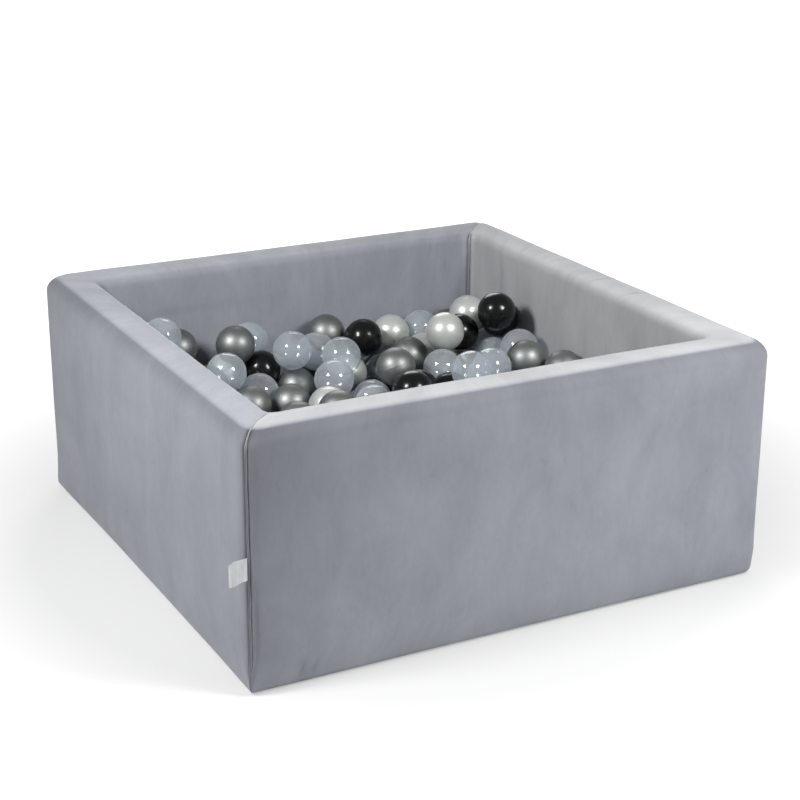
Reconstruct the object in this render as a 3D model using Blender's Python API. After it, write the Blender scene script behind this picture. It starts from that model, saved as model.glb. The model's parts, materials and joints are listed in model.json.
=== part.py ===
# Square foam ball pit in a velvet cover, open at the top and filled with loose plastic balls.
# X runs along the front wall to the right, Y to the back, Z up; the origin is the centre of the underside.

import math
import random

import bmesh
import bpy
from mathutils import Vector

# Whole pit
PIT_WIDTH = 0.900
WALL_HEIGHT = 0.400
WALL_THICK = 0.079
CLEARANCE = 0.0003

# Wall and cover: radii of the edges, crowns of the stuffed faces
OUTER_CORNER = 0.034
INNER_CORNER = 0.022
RIM_OUTER_ROUND = 0.029
RIM_INNER_ROUND = 0.027
FOOT_ROUND = 0.018
RIM_CROWN = 0.003
OUTSIDE_CROWN = 0.004
INSIDE_CROWN = 0.003
COVER_THICK = 0.002
WELT_RADIUS = 0.0012
WELT_SIDES = 4
CORNER_STEPS = 2
ROUND_STEPS = 3
LENGTH_SHARES = (0.15, 0.5, 0.85)
FACE_ROW_SHARES = (0.3, 0.7)
CROWN_POWER_SHARE = 0.7

# Base and floor
PANEL_THICK = 0.0015
PANEL_LAP = 0.004
FLOOR_FOAM = 0.030
FLOOR_COVER_THICK = 0.002

# Balls and the bed of lower balls that carries them
BALL_DIAMETER = 0.070
FILL_DEPTH = 0.116
BALL_CUTS = 3
LOOSE_LEVEL_SHARE = 0.51
DOME_SIDES = 6
DOME_RINGS = 2
CUP_SIDES = 4
STEM_SHARE = 0.50
GRID_PITCH = 0.096
GRID_SHIFT = 0.006
GRID_TURN_SHARES = (2.1, 3.7, 1.3)
GRID_LEVEL_SHARE = 0.72
GRID_SLOPE_SHARE = 0.50
HEAPED_TO_SHARE = -0.5
HEAPED_EVERY = 3

# Balls of the layers below, tried from the top down where an upper ball covers them; lengths are shares of a ball
LOWER_START_SHARE = 0.78
LOWER_DROP_SHARE = 0.165
LOWER_STEP_SHARE = 0.18
LOWER_COVER_SHARE = 1.2
LOWER_UNDER_SHARE = 0.3
LOWER_LEVELS = 3
LOWER_SEED = 11

# Zip along the foot of the back wall
ZIP_SHARE = 0.80
ZIP_FOOT = 0.004
TAPE_HEIGHT = 0.012
TAPE_THICK = 0.0008
CHAIN_HEIGHT = 0.005
CHAIN_THICK = 0.0022
STOP_LENGTH = 0.003
STOP_THICK = 0.0034
SLIDER_LENGTH = 0.011
SLIDER_HEIGHT = 0.0085
SLIDER_PLATE = 0.0012
BRIDGE_LENGTH = 0.0050
BRIDGE_RADIUS = 0.0006
PULL_WIDTH = 0.0050
PULL_LENGTH = 0.0190
PULL_THICK = 0.0012
PULL_END = 0.0011
PULL_SLOT_SIDE = 0.0004
ROD_SIDES = 6

# Satin tag in the near left corner seam
TAG_WIDTH = 0.028
TAG_HEIGHT = 0.036
TAG_THICK = 0.0009
TAG_CENTRE = 0.198
TAG_CURL = 0.0022
TAG_STEPS = 6

# Name, kind, place across and deep as shares of the reach of a ball's centre from the middle of the pit.
# The level is a share of a ball above the fill line, and 0 is a ball that rests on those named before it.
BALL_SHARES = (
    ("black_deep_a", "black", 0.24, 0.62, 0.15),
    ("black_deep_b", "black", -0.02, 0.86, 0.35),
    ("pearl_deep", "pearl", 0.19, 0.83, 0.50),
    ("silver_mid", "silver", -0.17, 0.72, 0),
    ("clear_front_a", "clear", 0.10, 0.36, 0.55),
    ("silver_deep", "silver", 0.80, 0.67, 0.60),
    ("silver_front_a", "silver", -0.33, 0.44, 0.65),
    ("clear_left_a", "clear", -0.42, 0.64, 0.70),
    ("pearl_front_a", "pearl", -0.20, 0.26, 0.75),
    ("black_front_c", "black", 0.46, 0.17, 0.75),
    ("silver_front_b", "silver", -0.56, 0.42, 0.80),
    ("clear_right_a", "clear", 1.00, 0.68, 0),
    ("pearl_mid", "pearl", 0.63, 0.78, 0),
    ("silver_front_c", "silver", -0.24, 0.06, 0),
    ("clear_back_a", "clear", 0.30, 0.98, 0),
    ("clear_front_b", "clear", 0.52, 0.36, 0),
    ("clear_deep", "clear", 0.90, 0.48, 0.95),
    ("black_front_b", "black", 0.26, 0.14, 0),
    ("black_left", "black", -0.33, 0.82, 0),
    ("clear_mid_b", "clear", -0.09, 0.42, 0),
    ("silver_back_b", "silver", 0.92, 1.00, 1.05),
    ("silver_centre_a", "silver", 0.47, 0.65, 0),
    ("clear_back_b", "clear", 0.71, 0.96, 0),
    ("silver_right_b", "silver", 1.00, -0.08, 1.30),
    ("clear_mid_a", "clear", 0.03, 0.58, 0),
    ("clear_right_b", "clear", 0.96, 0.30, 0),
    ("clear_near_a", "clear", -0.02, 0.79, 0),
    ("black_front_a", "black", 0.14, -0.02, 0),
    ("silver_centre_b", "silver", 0.24, 0.36, 0),
    ("pearl_back", "pearl", 0.50, 0.92, 0),
    ("clear_front_d", "clear", 0.67, 0.10, 1.35),
    ("silver_right_a", "silver", 0.88, 0.10, 1.40),
    ("black_mid", "black", 0.27, 0.80, 0),
    ("silver_back_a", "silver", 0.12, 0.96, 0),
    ("clear_back_c", "clear", -0.32, 1.00, 0),
    ("clear_left_b", "clear", -0.65, 0.52, 0),
    ("black_back", "black", 0.76, 0.60, 0),
    ("clear_front_c", "clear", 0.49, 0.00, 0),
    ("clear_near_b", "clear", -0.20, 0.70, 0),
    ("silver_left_b", "silver", -0.73, 1.00, 1.60),
    ("pearl_corner", "pearl", 0.94, 0.83, 0),
    ("pearl_front_b", "pearl", 0.60, 0.48, 0),
    ("silver_left_a", "silver", -0.47, 0.83, 0),
    ("black_wall", "black", 1.00, 0.58, 0),
    ("clear_left_c", "clear", -0.86, 0.88, 0),
    ("black_top", "black", 0.89, 0.43, 0),
)
# The deepest balls, almost out of sight, are part of the bed; nothing leans on the plain ones
BED_BALLS = ("black_deep_a", "black_deep_b", "pearl_deep", "silver_deep", "pearl_mid", "clear_deep")
PLAIN_BED_BALLS = ("black_deep_a",)

HALF = PIT_WIDTH / 2
INNER_HALF = HALF - WALL_THICK
FOOT_Z = PANEL_THICK + CLEARANCE
FLOOR_Z = FOOT_Z + FLOOR_FOAM
FLOOR_TOP = FLOOR_Z + CLEARANCE + FLOOR_COVER_THICK
FILL_LINE = FLOOR_TOP + FILL_DEPTH
BALL_RADIUS = BALL_DIAMETER / 2
BALL_PITCH = BALL_DIAMETER + CLEARANCE
REACH = INNER_HALF - BALL_RADIUS - CLEARANCE
ZIP_LENGTH = PIT_WIDTH * ZIP_SHARE
OUTER_FACE = HALF - OUTSIDE_CROWN
INNER_FACE = INNER_HALF + INSIDE_CROWN
TAPE_LOWER_Z = FOOT_Z + FOOT_ROUND + ZIP_FOOT
CHAIN_Z = TAPE_LOWER_Z + TAPE_HEIGHT + CLEARANCE
TAPE_UPPER_Z = CHAIN_Z + CHAIN_HEIGHT + CLEARANCE
ZIP_TOP = TAPE_UPPER_Z + TAPE_HEIGHT
PIVOT_RADIUS = math.hypot(PULL_END, PULL_THICK) / 2
PIVOT_RISE = SLIDER_PLATE + CLEARANCE + PIVOT_RADIUS
BRIDGE_RISE = PIVOT_RISE + PIVOT_RADIUS + CLEARANCE + BRIDGE_RADIUS


def clear_scene():
    for item in list(bpy.data.objects):
        bpy.data.objects.remove(item, do_unlink=True)


def material(name, colour, roughness, metallic=0.0):
    made = bpy.data.materials.new(name)
    made.use_nodes = True
    shader = made.node_tree.nodes["Principled BSDF"]
    shader.inputs["Base Color"].default_value = (*colour, 1.0)
    shader.inputs["Roughness"].default_value = roughness
    shader.inputs["Metallic"].default_value = metallic
    made.diffuse_color = (*colour, 1.0)
    return made


def place(name, mesh, paint):
    made = bpy.data.objects.new(name, mesh)
    bpy.context.scene.collection.objects.link(made)
    if not mesh.materials:
        mesh.materials.append(paint)
    return made


def finished(name, bm, smooth=True):
    bmesh.ops.recalc_face_normals(bm, faces=bm.faces)
    mesh = bpy.data.meshes.new(name)
    bm.to_mesh(mesh)
    bm.free()
    if smooth:
        mesh.shade_smooth()
        mesh.set_sharp_from_angle(angle=math.radians(40))
    return mesh


# Wall sections: each row is (half width of its loop, height, crown at mid length)


def arc(centre_out, centre_z, radius, start, end, steps):
    turns = [math.radians(start + (end - start) * i / steps) for i in range(steps + 1)]
    return [(centre_out + radius * math.cos(t), centre_z + radius * math.sin(t)) for t in turns]


def skin_rows(inset, inner_end, crowned):
    """The cover's face at this depth below the velvet, from the foot outside, over the rim, to the foot inside."""
    shoulder = WALL_HEIGHT - RIM_CROWN
    outer_top = shoulder - RIM_OUTER_ROUND
    inner_top = shoulder - RIM_INNER_ROUND
    middle = (OUTER_FACE + INNER_FACE) / 2
    foot = arc(OUTER_FACE - FOOT_ROUND, FOOT_Z + FOOT_ROUND, FOOT_ROUND - inset, -90, 0, ROUND_STEPS)
    outer_rim = arc(OUTER_FACE - RIM_OUTER_ROUND, outer_top, RIM_OUTER_ROUND - inset, 0, 90, ROUND_STEPS)
    inner_rim = arc(INNER_FACE + RIM_INNER_ROUND, inner_top, RIM_INNER_ROUND - inset, 90, 180, ROUND_STEPS)
    rows = [(out, z, 0.0) for out, z in foot]
    if crowned:
        rows.append((OUTER_FACE - inset, ZIP_TOP, 0.0))
        for share in FACE_ROW_SHARES:
            rows.append((OUTER_FACE - inset, ZIP_TOP + (outer_top - ZIP_TOP) * share, outside_crown(share)))
    rows += [(out, z, 0.0) for out, z in outer_rim]
    rows.append((middle, WALL_HEIGHT - inset, 0.0))
    rows += [(out, z, 0.0) for out, z in inner_rim]
    if crowned:
        for share in reversed(FACE_ROW_SHARES):
            rows.append((INNER_FACE + inset, FLOOR_TOP + (inner_top - FLOOR_TOP) * share, -inside_crown(share)))
        rows.append((INNER_FACE + inset, FLOOR_TOP, 0.0))
    rows.append((INNER_FACE + inset, inner_end, 0.0))
    return rows


def outside_crown(share):
    return OUTSIDE_CROWN * math.sin(math.pi * share) ** CROWN_POWER_SHARE


def inside_crown(share):
    return INSIDE_CROWN * math.sin(math.pi * share) ** CROWN_POWER_SHARE


def corner_radius(half):
    across = (half - INNER_HALF) / WALL_THICK
    return INNER_CORNER + (OUTER_CORNER - INNER_CORNER) * across


def side_stations(half, crown, lengths, start_gap=0.0, end_gap=0.0):
    """One side of a loop, from mid corner to mid corner, as (along, out)."""
    radius = corner_radius(half)
    reach = half - radius
    points = []
    for i in range(CORNER_STEPS + 1):
        turn = math.radians(135 - 45 * i / CORNER_STEPS)
        points.append((-reach + radius * math.cos(turn), reach + radius * math.sin(turn)))
    for share in lengths:
        swell = math.sin(math.pi * share) ** CROWN_POWER_SHARE
        points.append((-reach + 2 * reach * share, half + crown * swell))
    for i in range(CORNER_STEPS + 1):
        turn = math.radians(90 - 45 * i / CORNER_STEPS)
        points.append((reach + radius * math.cos(turn), reach + radius * math.sin(turn)))
    points[0] = (points[0][0] + start_gap, points[0][1])
    points[-1] = (points[-1][0] - end_gap, points[-1][1])
    return points


def turned(point, side):
    along, out = point
    x, y = along, -out
    for _ in range(side):
        x, y = -y, x
    return x, y


def loop(half, crown, lengths, sides, gap):
    """A loop over these sides (0 front, 1 right, 2 back, 3 left), open at both ends, each end half a gap short."""
    short = gap / math.sqrt(2)
    points = []
    for n, side in enumerate(sides):
        first = short if n == 0 else 0.0
        last = short if n == len(sides) - 1 else 0.0
        run = [turned(point, side) for point in side_stations(half, crown, lengths, first, last)]
        points += run if n == 0 else run[1:]
    return points


def closed_loop(half):
    return loop(half, 0.0, (), (0, 1, 2, 3), 0.0)[:-1]


def swept(name, outer, inner, lengths, sides):
    """A skin of rows, closed by a second skin behind it or, with none, by its own end rows."""
    bm = bmesh.new()
    rows = [(row, True) for row in outer] + [(row, False) for row in reversed(inner)]
    grid = []
    for (half, z, crown), _ in rows:
        grid.append([bm.verts.new((x, y, z)) for x, y in loop(half, crown, lengths, sides, CLEARANCE)])
    for n, lower in enumerate(grid):
        upper = grid[(n + 1) % len(grid)]
        forward = rows[n][1]
        for i in range(len(lower) - 1):
            a, b, c, d = lower[i], lower[i + 1], upper[i + 1], upper[i]
            if forward:
                bm.faces.new((a, b, c))
                bm.faces.new((a, c, d))
            else:
                bm.faces.new((a, b, d))
                bm.faces.new((b, c, d))
    bm.faces.new([row[0] for row in grid])
    bm.faces.new([row[-1] for row in reversed(grid)])
    return finished(name, bm)


def slab(name, half, z_low, z_high):
    bm = bmesh.new()
    low = [bm.verts.new((x, y, z_low)) for x, y in closed_loop(half)]
    high = [bm.verts.new((x, y, z_high)) for x, y in closed_loop(half)]
    bm.faces.new(reversed(low))
    bm.faces.new(high)
    for i in range(len(low)):
        j = (i + 1) % len(low)
        bm.faces.new((low[i], low[j], high[j], high[i]))
    return finished(name, bm)


def cover(name, sides):
    velvet = skin_rows(0.0, FOOT_Z, True)
    lining = skin_rows(COVER_THICK, FOOT_Z, False)
    return swept(name, velvet, lining, LENGTH_SHARES, sides)


def foam_wall(name, side):
    inset = COVER_THICK + CLEARANCE
    return swept(name, skin_rows(inset, FOOT_Z + inset, False), [], (), (side,))


# Corner seams


def corner_distance(half):
    """Distance of a loop's rounded corner from the middle of the pit."""
    radius = corner_radius(half)
    return math.sqrt(2) * (half - radius) + radius


def seam_path():
    """The welt's route in the corner plane, a little off the velvet, as (distance, height)."""
    skin = [(corner_distance(half), z) for half, z, _ in skin_rows(0.0, FLOOR_TOP, True)]
    off = CLEARANCE + WELT_RADIUS
    path = []
    for i in range(ROUND_STEPS, len(skin) - 1):
        before, here, after = skin[i - 1], skin[i], skin[i + 1]
        if i == ROUND_STEPS:
            before = (here[0], here[1] - off)
        run = Vector((here[0] - before[0], here[1] - before[1])).normalized()
        run += Vector((after[0] - here[0], after[1] - here[1])).normalized()
        run.normalize()
        path.append((here[0] + off * run.y, here[1] - off * run.x))
    last = path[-1]
    path[-1] = (last[0], FLOOR_TOP + 2 * off)
    return path


def tube(bm, points, radius, sides):
    """A closed tube along these points, with flat ends."""
    rings = []
    for i, point in enumerate(points):
        run = points[min(i + 1, len(points) - 1)] - points[max(i - 1, 0)]
        run.normalize()
        side = run.orthogonal() if not rings else rings[-1][1] - run * rings[-1][1].dot(run)
        side.normalize()
        other = run.cross(side)
        ring = []
        for k in range(sides):
            turn = math.tau * k / sides
            ring.append(bm.verts.new(point + radius * (side * math.cos(turn) + other * math.sin(turn))))
        rings.append((ring, side))
    for (first, _), (second, _) in zip(rings, rings[1:]):
        for k in range(sides):
            j = (k + 1) % sides
            bm.faces.new((first[k], first[j], second[j], second[k]))
    bm.faces.new(reversed(rings[0][0]))
    bm.faces.new(rings[-1][0])


def welt(name, sign):
    bm = bmesh.new()
    across = sign / math.sqrt(2)
    tube(bm, [Vector((d * across, d * across, z)) for d, z in seam_path()], WELT_RADIUS, WELT_SIDES)
    return finished(name, bm)


def tag_mesh():
    """Folded satin loop, laid flat and slightly curled, from the seam outwards along -X."""
    bm = bmesh.new()
    near, far = [], []
    for i in range(TAG_STEPS + 1):
        share = i / TAG_STEPS
        x = -(WELT_RADIUS + CLEARANCE) - TAG_WIDTH * share
        y = TAG_CURL * math.sin(math.pi * share) - TAG_CURL * share
        near.append((x, y - TAG_THICK / 2))
        far.append((x, y + TAG_THICK / 2))
    outline = near + far[::-1]
    low = [bm.verts.new((x, y, -TAG_HEIGHT / 2)) for x, y in outline]
    high = [bm.verts.new((x, y, TAG_HEIGHT / 2)) for x, y in outline]
    count = len(outline)
    for i in range(count):
        j = (i + 1) % count
        bm.faces.new((low[i], low[j], high[j], high[i]))
    for i in range(TAG_STEPS):
        j = count - 1 - i
        bm.faces.new((low[i + 1], low[i], low[j], low[j - 1]))
        bm.faces.new((high[i], high[i + 1], high[j - 1], high[j]))
    return finished("satin_tag", bm)


def seam_axis():
    """Where the welt stands on the outside of the near left corner."""
    distance = corner_distance(OUTER_FACE) + CLEARANCE + WELT_RADIUS
    return Vector((-distance / math.sqrt(2), -distance / math.sqrt(2), TAG_CENTRE))


# Zip


def box_into(bm, low, high):
    corners = [(x, y, z) for x in (low[0], high[0]) for y in (low[1], high[1]) for z in (low[2], high[2])]
    verts = [bm.verts.new(corner) for corner in corners]
    for face in ((0, 1, 3, 2), (4, 6, 7, 5), (0, 4, 5, 1), (2, 3, 7, 6), (0, 2, 6, 4), (1, 5, 7, 3)):
        bm.faces.new([verts[i] for i in face])


def box_mesh(name, low, high, round_off=0.0):
    bm = bmesh.new()
    box_into(bm, low, high)
    if round_off:
        bmesh.ops.bevel(bm, geom=bm.edges[:], offset=round_off, segments=1, affect="EDGES", profile=0.5)
    return finished(name, bm, smooth=False)


def back_face():
    return OUTER_FACE + CLEARANCE


def zip_pieces(tape_paint, chain_paint, metal_paint):
    y = back_face()
    half = ZIP_LENGTH / 2
    for name, z in (("zip_tape_lower", TAPE_LOWER_Z), ("zip_tape_upper", TAPE_UPPER_Z)):
        mesh = box_mesh(name, (-half, y, z), (half, y + TAPE_THICK, z + TAPE_HEIGHT))
        place(name, mesh, tape_paint)
    chain_half = half - STOP_LENGTH - CLEARANCE
    chain = box_mesh(
        "zip_tooth_chain",
        (-chain_half, y, CHAIN_Z),
        (chain_half, y + CHAIN_THICK, CHAIN_Z + CHAIN_HEIGHT),
        CHAIN_THICK / 4,
    )
    place("zip_tooth_chain", chain, chain_paint)
    for name, x in (("zip_stop_left", -half), ("zip_stop_right", half - STOP_LENGTH)):
        stop = box_mesh(
            name,
            (x, y, CHAIN_Z),
            (x + STOP_LENGTH, y + STOP_THICK, CHAIN_Z + CHAIN_HEIGHT),
            STOP_LENGTH / 8,
        )
        place(name, stop, metal_paint)


def slider_place():
    """Centre of the slider on the chain's face, closed against the right stop."""
    x = ZIP_LENGTH / 2 - STOP_LENGTH - CLEARANCE - SLIDER_LENGTH / 2
    return Vector((x, back_face() + CHAIN_THICK + CLEARANCE, CHAIN_Z + CHAIN_HEIGHT / 2))


def slider_mesh():
    """C section that runs over the chain, with a bridge bar on two posts for the pull."""
    bm = bmesh.new()
    half_l = SLIDER_LENGTH / 2
    half_h = SLIDER_HEIGHT / 2
    flange = (SLIDER_HEIGHT - CHAIN_HEIGHT) / 2 - CLEARANCE
    reach = CHAIN_THICK - TAPE_THICK
    outline = [
        (0.0, -half_h + flange),
        (-reach, -half_h + flange),
        (-reach, -half_h),
        (SLIDER_PLATE, -half_h),
        (SLIDER_PLATE, half_h),
        (-reach, half_h),
        (-reach, half_h - flange),
        (0.0, half_h - flange),
    ]
    ends = []
    for x in (-half_l, half_l):
        ends.append([bm.verts.new((x, y, z)) for y, z in outline])
    bm.faces.new(ends[0])
    bm.faces.new(reversed(ends[1]))
    count = len(outline)
    for i in range(count):
        j = (i + 1) % count
        bm.faces.new((ends[0][j], ends[0][i], ends[1][i], ends[1][j]))
    return finished("zip_slider", bm, smooth=False)


def bridge_mesh():
    """The bar and its posts as one bent rod, rooted in the slider's plate."""
    bm = bmesh.new()
    half = BRIDGE_LENGTH / 2
    root = SLIDER_PLATE / 2
    points = [
        Vector((-half, root, 0.0)),
        Vector((-half, BRIDGE_RISE - BRIDGE_RADIUS, 0.0)),
        Vector((-half + BRIDGE_RADIUS, BRIDGE_RISE, 0.0)),
        Vector((half - BRIDGE_RADIUS, BRIDGE_RISE, 0.0)),
        Vector((half, BRIDGE_RISE - BRIDGE_RADIUS, 0.0)),
        Vector((half, root, 0.0)),
    ]
    tube(bm, points, BRIDGE_RADIUS, ROD_SIDES)
    return finished("zip_bridge", bm)


def slider(paint):
    body = place("zip_slider", slider_mesh(), paint)
    bridge = place("zip_bridge", bridge_mesh(), paint)
    bridge.hide_render = True
    bridge.display_type = "WIRE"
    bridge.parent = body
    body.location = slider_place()
    join = body.modifiers.new("bridge", "BOOLEAN")
    join.operation = "UNION"
    join.object = bridge
    return body


def pull_mesh():
    """Flat tab whose end bar lies under the bridge, with a slot for the bridge's post; it turns about that bar."""
    bm = bmesh.new()
    end = PULL_END / 2
    slot = BRIDGE_RADIUS + PULL_SLOT_SIDE
    bridge_corner = math.hypot(BRIDGE_LENGTH / 2 + BRIDGE_RADIUS, BRIDGE_RISE + BRIDGE_RADIUS - PIVOT_RISE)
    eye = bridge_corner + PULL_SLOT_SIDE
    wide = PULL_WIDTH / 2
    narrow = wide - PULL_END / 2
    shoulder = eye + PULL_END
    outer = [(-PULL_LENGTH, -narrow), (-shoulder, -wide), (end, -wide), (end, wide), (-shoulder, wide),
             (-PULL_LENGTH, narrow)]
    inner = [(-eye, -slot), (-end, -slot), (-end, slot), (-eye, slot)]
    rings = {}
    for y in (-PULL_THICK / 2, PULL_THICK / 2):
        rings[y] = (
            [bm.verts.new((x, y, z)) for x, z in outer],
            [bm.verts.new((x, y, z)) for x, z in inner],
        )
        o, i = rings[y]
        bm.faces.new((o[0], o[1], o[4], o[5]))
        bm.faces.new((o[1], i[0], i[3], o[4]))
        bm.faces.new((o[1], o[2], i[1], i[0]))
        bm.faces.new((o[2], o[3], i[2], i[1]))
        bm.faces.new((o[3], o[4], i[3], i[2]))
    (back_outer, back_inner), (front_outer, front_inner) = rings.values()
    for back, front in ((back_outer, front_outer), (back_inner, front_inner)):
        for k in range(len(back)):
            j = (k + 1) % len(back)
            bm.faces.new((back[k], back[j], front[j], front[k]))
    return finished("zip_pull", bm, smooth=False)


def pull(paint):
    tab = place("zip_pull", pull_mesh(), paint)
    tab.location = slider_place() + Vector((0.0, PIVOT_RISE, 0.0))
    return tab


# Balls


def rest_height(x, y, level, placed):
    """Height of a ball's centre that clears the balls placed before it."""
    height = level
    under = None
    for centre in placed:
        square = BALL_PITCH**2 - (centre.x - x) ** 2 - (centre.y - y) ** 2
        if square > 0 and centre.z + math.sqrt(square) > height:
            height = centre.z + math.sqrt(square)
            under = centre
    return height, under


def listed_places():
    """Each named ball's centre and what it rests on, from the bottom up; no neighbour means the bed."""
    placed = []
    found = []
    for name, kind, across, deep, level in BALL_SHARES:
        x, y = across * REACH, deep * REACH
        lowest = FILL_LINE + (level or LOOSE_LEVEL_SHARE) * BALL_DIAMETER
        height, under = rest_height(x, y, lowest, placed)
        centre = Vector((x, y, height))
        placed.append(centre)
        found.append((name, kind, centre, under))
    return found


def overlaps_in_plan(x, y, centres, pitch):
    return any((c.x - x) ** 2 + (c.y - y) ** 2 < pitch**2 for c in centres)


def grid_places(listed):
    """The rest of the upper balls: a loose grid where no named ball stands, then a few heaped on it at the front."""
    near, middle, far = GRID_TURN_SHARES
    rows = int(2 * REACH / (GRID_PITCH * math.sqrt(3) / 2)) + 1
    columns = int(2 * REACH / GRID_PITCH) + 1
    base = []
    heaped = []
    for row in range(rows):
        for column in range(columns + 1):
            turn = near * row + middle * column
            x = -REACH + GRID_PITCH * (column + (row % 2) / 2) + GRID_SHIFT * math.sin(turn)
            y = -REACH + GRID_PITCH * row * math.sqrt(3) / 2 + GRID_SHIFT * math.cos(far * turn)
            x, y = max(x, -REACH), max(y, -REACH)
            if x > REACH or y > REACH or overlaps_in_plan(x, y, listed, BALL_PITCH):
                continue
            share = GRID_LEVEL_SHARE - GRID_SLOPE_SHARE * y / REACH + GRID_SHIFT / BALL_RADIUS * math.cos(turn)
            height, _ = rest_height(x, y, FILL_LINE + share * BALL_DIAMETER, base)
            base.append(Vector((x, y, height)))
    for n, centre in enumerate(list(base)):
        x, y = centre.x + GRID_PITCH / 2, centre.y + GRID_PITCH / (2 * math.sqrt(3))
        if n % HEAPED_EVERY or abs(x) > REACH or y > HEAPED_TO_SHARE * REACH:
            continue
        if overlaps_in_plan(x, y, listed + heaped, BALL_PITCH):
            continue
        height, _ = rest_height(x, y, centre.z, base)
        heaped.append(Vector((x, y, height)))
    return base + heaped


def lower_places(fixed):
    """Balls packed into the room below the ones already there; the bed's top hides the deeper levels."""
    step = LOWER_STEP_SHARE * BALL_DIAMETER
    under = LOWER_UNDER_SHARE * BALL_DIAMETER
    cover_reach = LOWER_COVER_SHARE * BALL_DIAMETER
    count = int(2 * REACH / step) + 1
    order = random.Random(LOWER_SEED)
    found = []
    for level in range(LOWER_LEVELS):
        height = FILL_LINE + (LOWER_START_SHARE - LOWER_DROP_SHARE * level) * BALL_DIAMETER
        tries = [Vector((i * step - REACH, j * step - REACH, height)) for i in range(count) for j in range(count)]
        order.shuffle(tries)
        for place_tried in tries:
            x, y = place_tried.x, place_tried.y
            higher = [c for c in fixed if c.z > height + under]
            if not overlaps_in_plan(x, y, higher, cover_reach):
                continue
            if all((place_tried - c).length > BALL_PITCH for c in fixed + found):
                found.append(place_tried)
    return found


def ball_mesh():
    bm = bmesh.new()
    bmesh.ops.create_icosphere(bm, subdivisions=BALL_CUTS, radius=BALL_RADIUS)
    mesh = finished("ball", bm)
    mesh.shade_smooth()
    return mesh


def balls(listed, paints):
    """One object a ball, turned so that its lowest point of contact is a corner of its mesh."""
    meshes = {kind: ball_mesh() for kind in paints}
    for name, kind, centre, under in listed:
        if name in BED_BALLS:
            continue
        ball = place("ball_" + name, meshes[kind], paints[kind])
        ball.location = centre
        if under is not None:
            down = (under - centre).normalized()
            ball.rotation_mode = "QUATERNION"
            ball.rotation_quaternion = Vector((0, 0, -1)).rotation_difference(down)


def dome_into(bm, centre, radius, foot, sides, rings):
    """Half a ball on a straight column down to the foot, turned by its place, so that no two have sides in line."""
    levels = [(radius, foot - centre.z)]
    for i in range(rings):
        turn = math.radians(90 * i / rings)
        levels.append((radius * math.cos(turn), radius * math.sin(turn)))
    loops = []
    for r, z in levels:
        turns = [math.tau * k / sides + (centre.x + centre.y) / BALL_RADIUS for k in range(sides)]
        loops.append([bm.verts.new(centre + Vector((r * math.cos(t), r * math.sin(t), z))) for t in turns])
    bm.faces.new(reversed(loops[0]))
    for low, high in zip(loops, loops[1:]):
        for k in range(sides):
            j = (k + 1) % sides
            bm.faces.new((low[k], low[j], high[j], high[k]))
    pole = bm.verts.new(centre + Vector((0, 0, radius)))
    for k in range(sides):
        bm.faces.new((loops[-1][k], loops[-1][(k + 1) % sides], pole))


def half_ball_into(bm, centre):
    """The upper half of a full ball mesh, with a flat underside."""
    part = bmesh.new()
    bmesh.ops.create_icosphere(part, subdivisions=BALL_CUTS, radius=BALL_RADIUS)
    bmesh.ops.bisect_plane(
        part, geom=part.verts[:] + part.edges[:] + part.faces[:],
        plane_co=(0, 0, 0), plane_no=(0, 0, 1), clear_inner=True)
    bmesh.ops.remove_doubles(part, verts=part.verts[:], dist=CLEARANCE)
    edges = [edge for edge in part.edges if edge.is_boundary]
    bmesh.ops.contextual_create(part, geom=edges)
    bmesh.ops.translate(part, vec=centre, verts=part.verts[:])
    shape = bpy.data.meshes.new("bed_ball")
    part.to_mesh(shape)
    part.free()
    bm.from_mesh(shape)
    bpy.data.meshes.remove(shape)


def dome_radius(centre, others):
    """A full ball where there is room below, or less beside a lower neighbour."""
    room = BALL_RADIUS
    for other in others:
        if other.z >= centre.z:
            away = (other - centre).length
        else:
            away = math.hypot(other.x - centre.x, other.y - centre.y)
        room = min(room, away - BALL_RADIUS - CLEARANCE)
    return room


def bed_bodies(listed):
    """What stands out of the bed, as (centre, radius, form): balls lean on a ball, and a cup holds one up."""
    centres = [centre for _, _, centre, _ in listed]
    found = []
    for name, _, centre, under in listed:
        if name in BED_BALLS:
            found.append((centre, BALL_RADIUS, "dome" if name in PLAIN_BED_BALLS else "ball"))
        elif under is None:
            below = centre - Vector((0, 0, BALL_PITCH))
            room = dome_radius(below, [other for other in centres if other != centre])
            found.append((centre - Vector((0, 0, BALL_RADIUS + CLEARANCE + room)), room, "cup"))
    upper = grid_places(centres)
    found += [(centre, BALL_RADIUS, "dome") for centre in upper]
    return found + [(centre, dome_radius(centre, centres), "dome") for centre in lower_places(centres + upper)]


def apart(bodies):
    """The bodies sorted into layers, in each of which none overlaps another in plan."""
    layers = []
    for body in bodies:
        for layer in layers:
            if not overlaps_in_plan(body[0].x, body[0].y, [other[0] for other in layer], BALL_PITCH):
                layer.append(body)
                break
        else:
            layers.append([body])
    return layers


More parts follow.
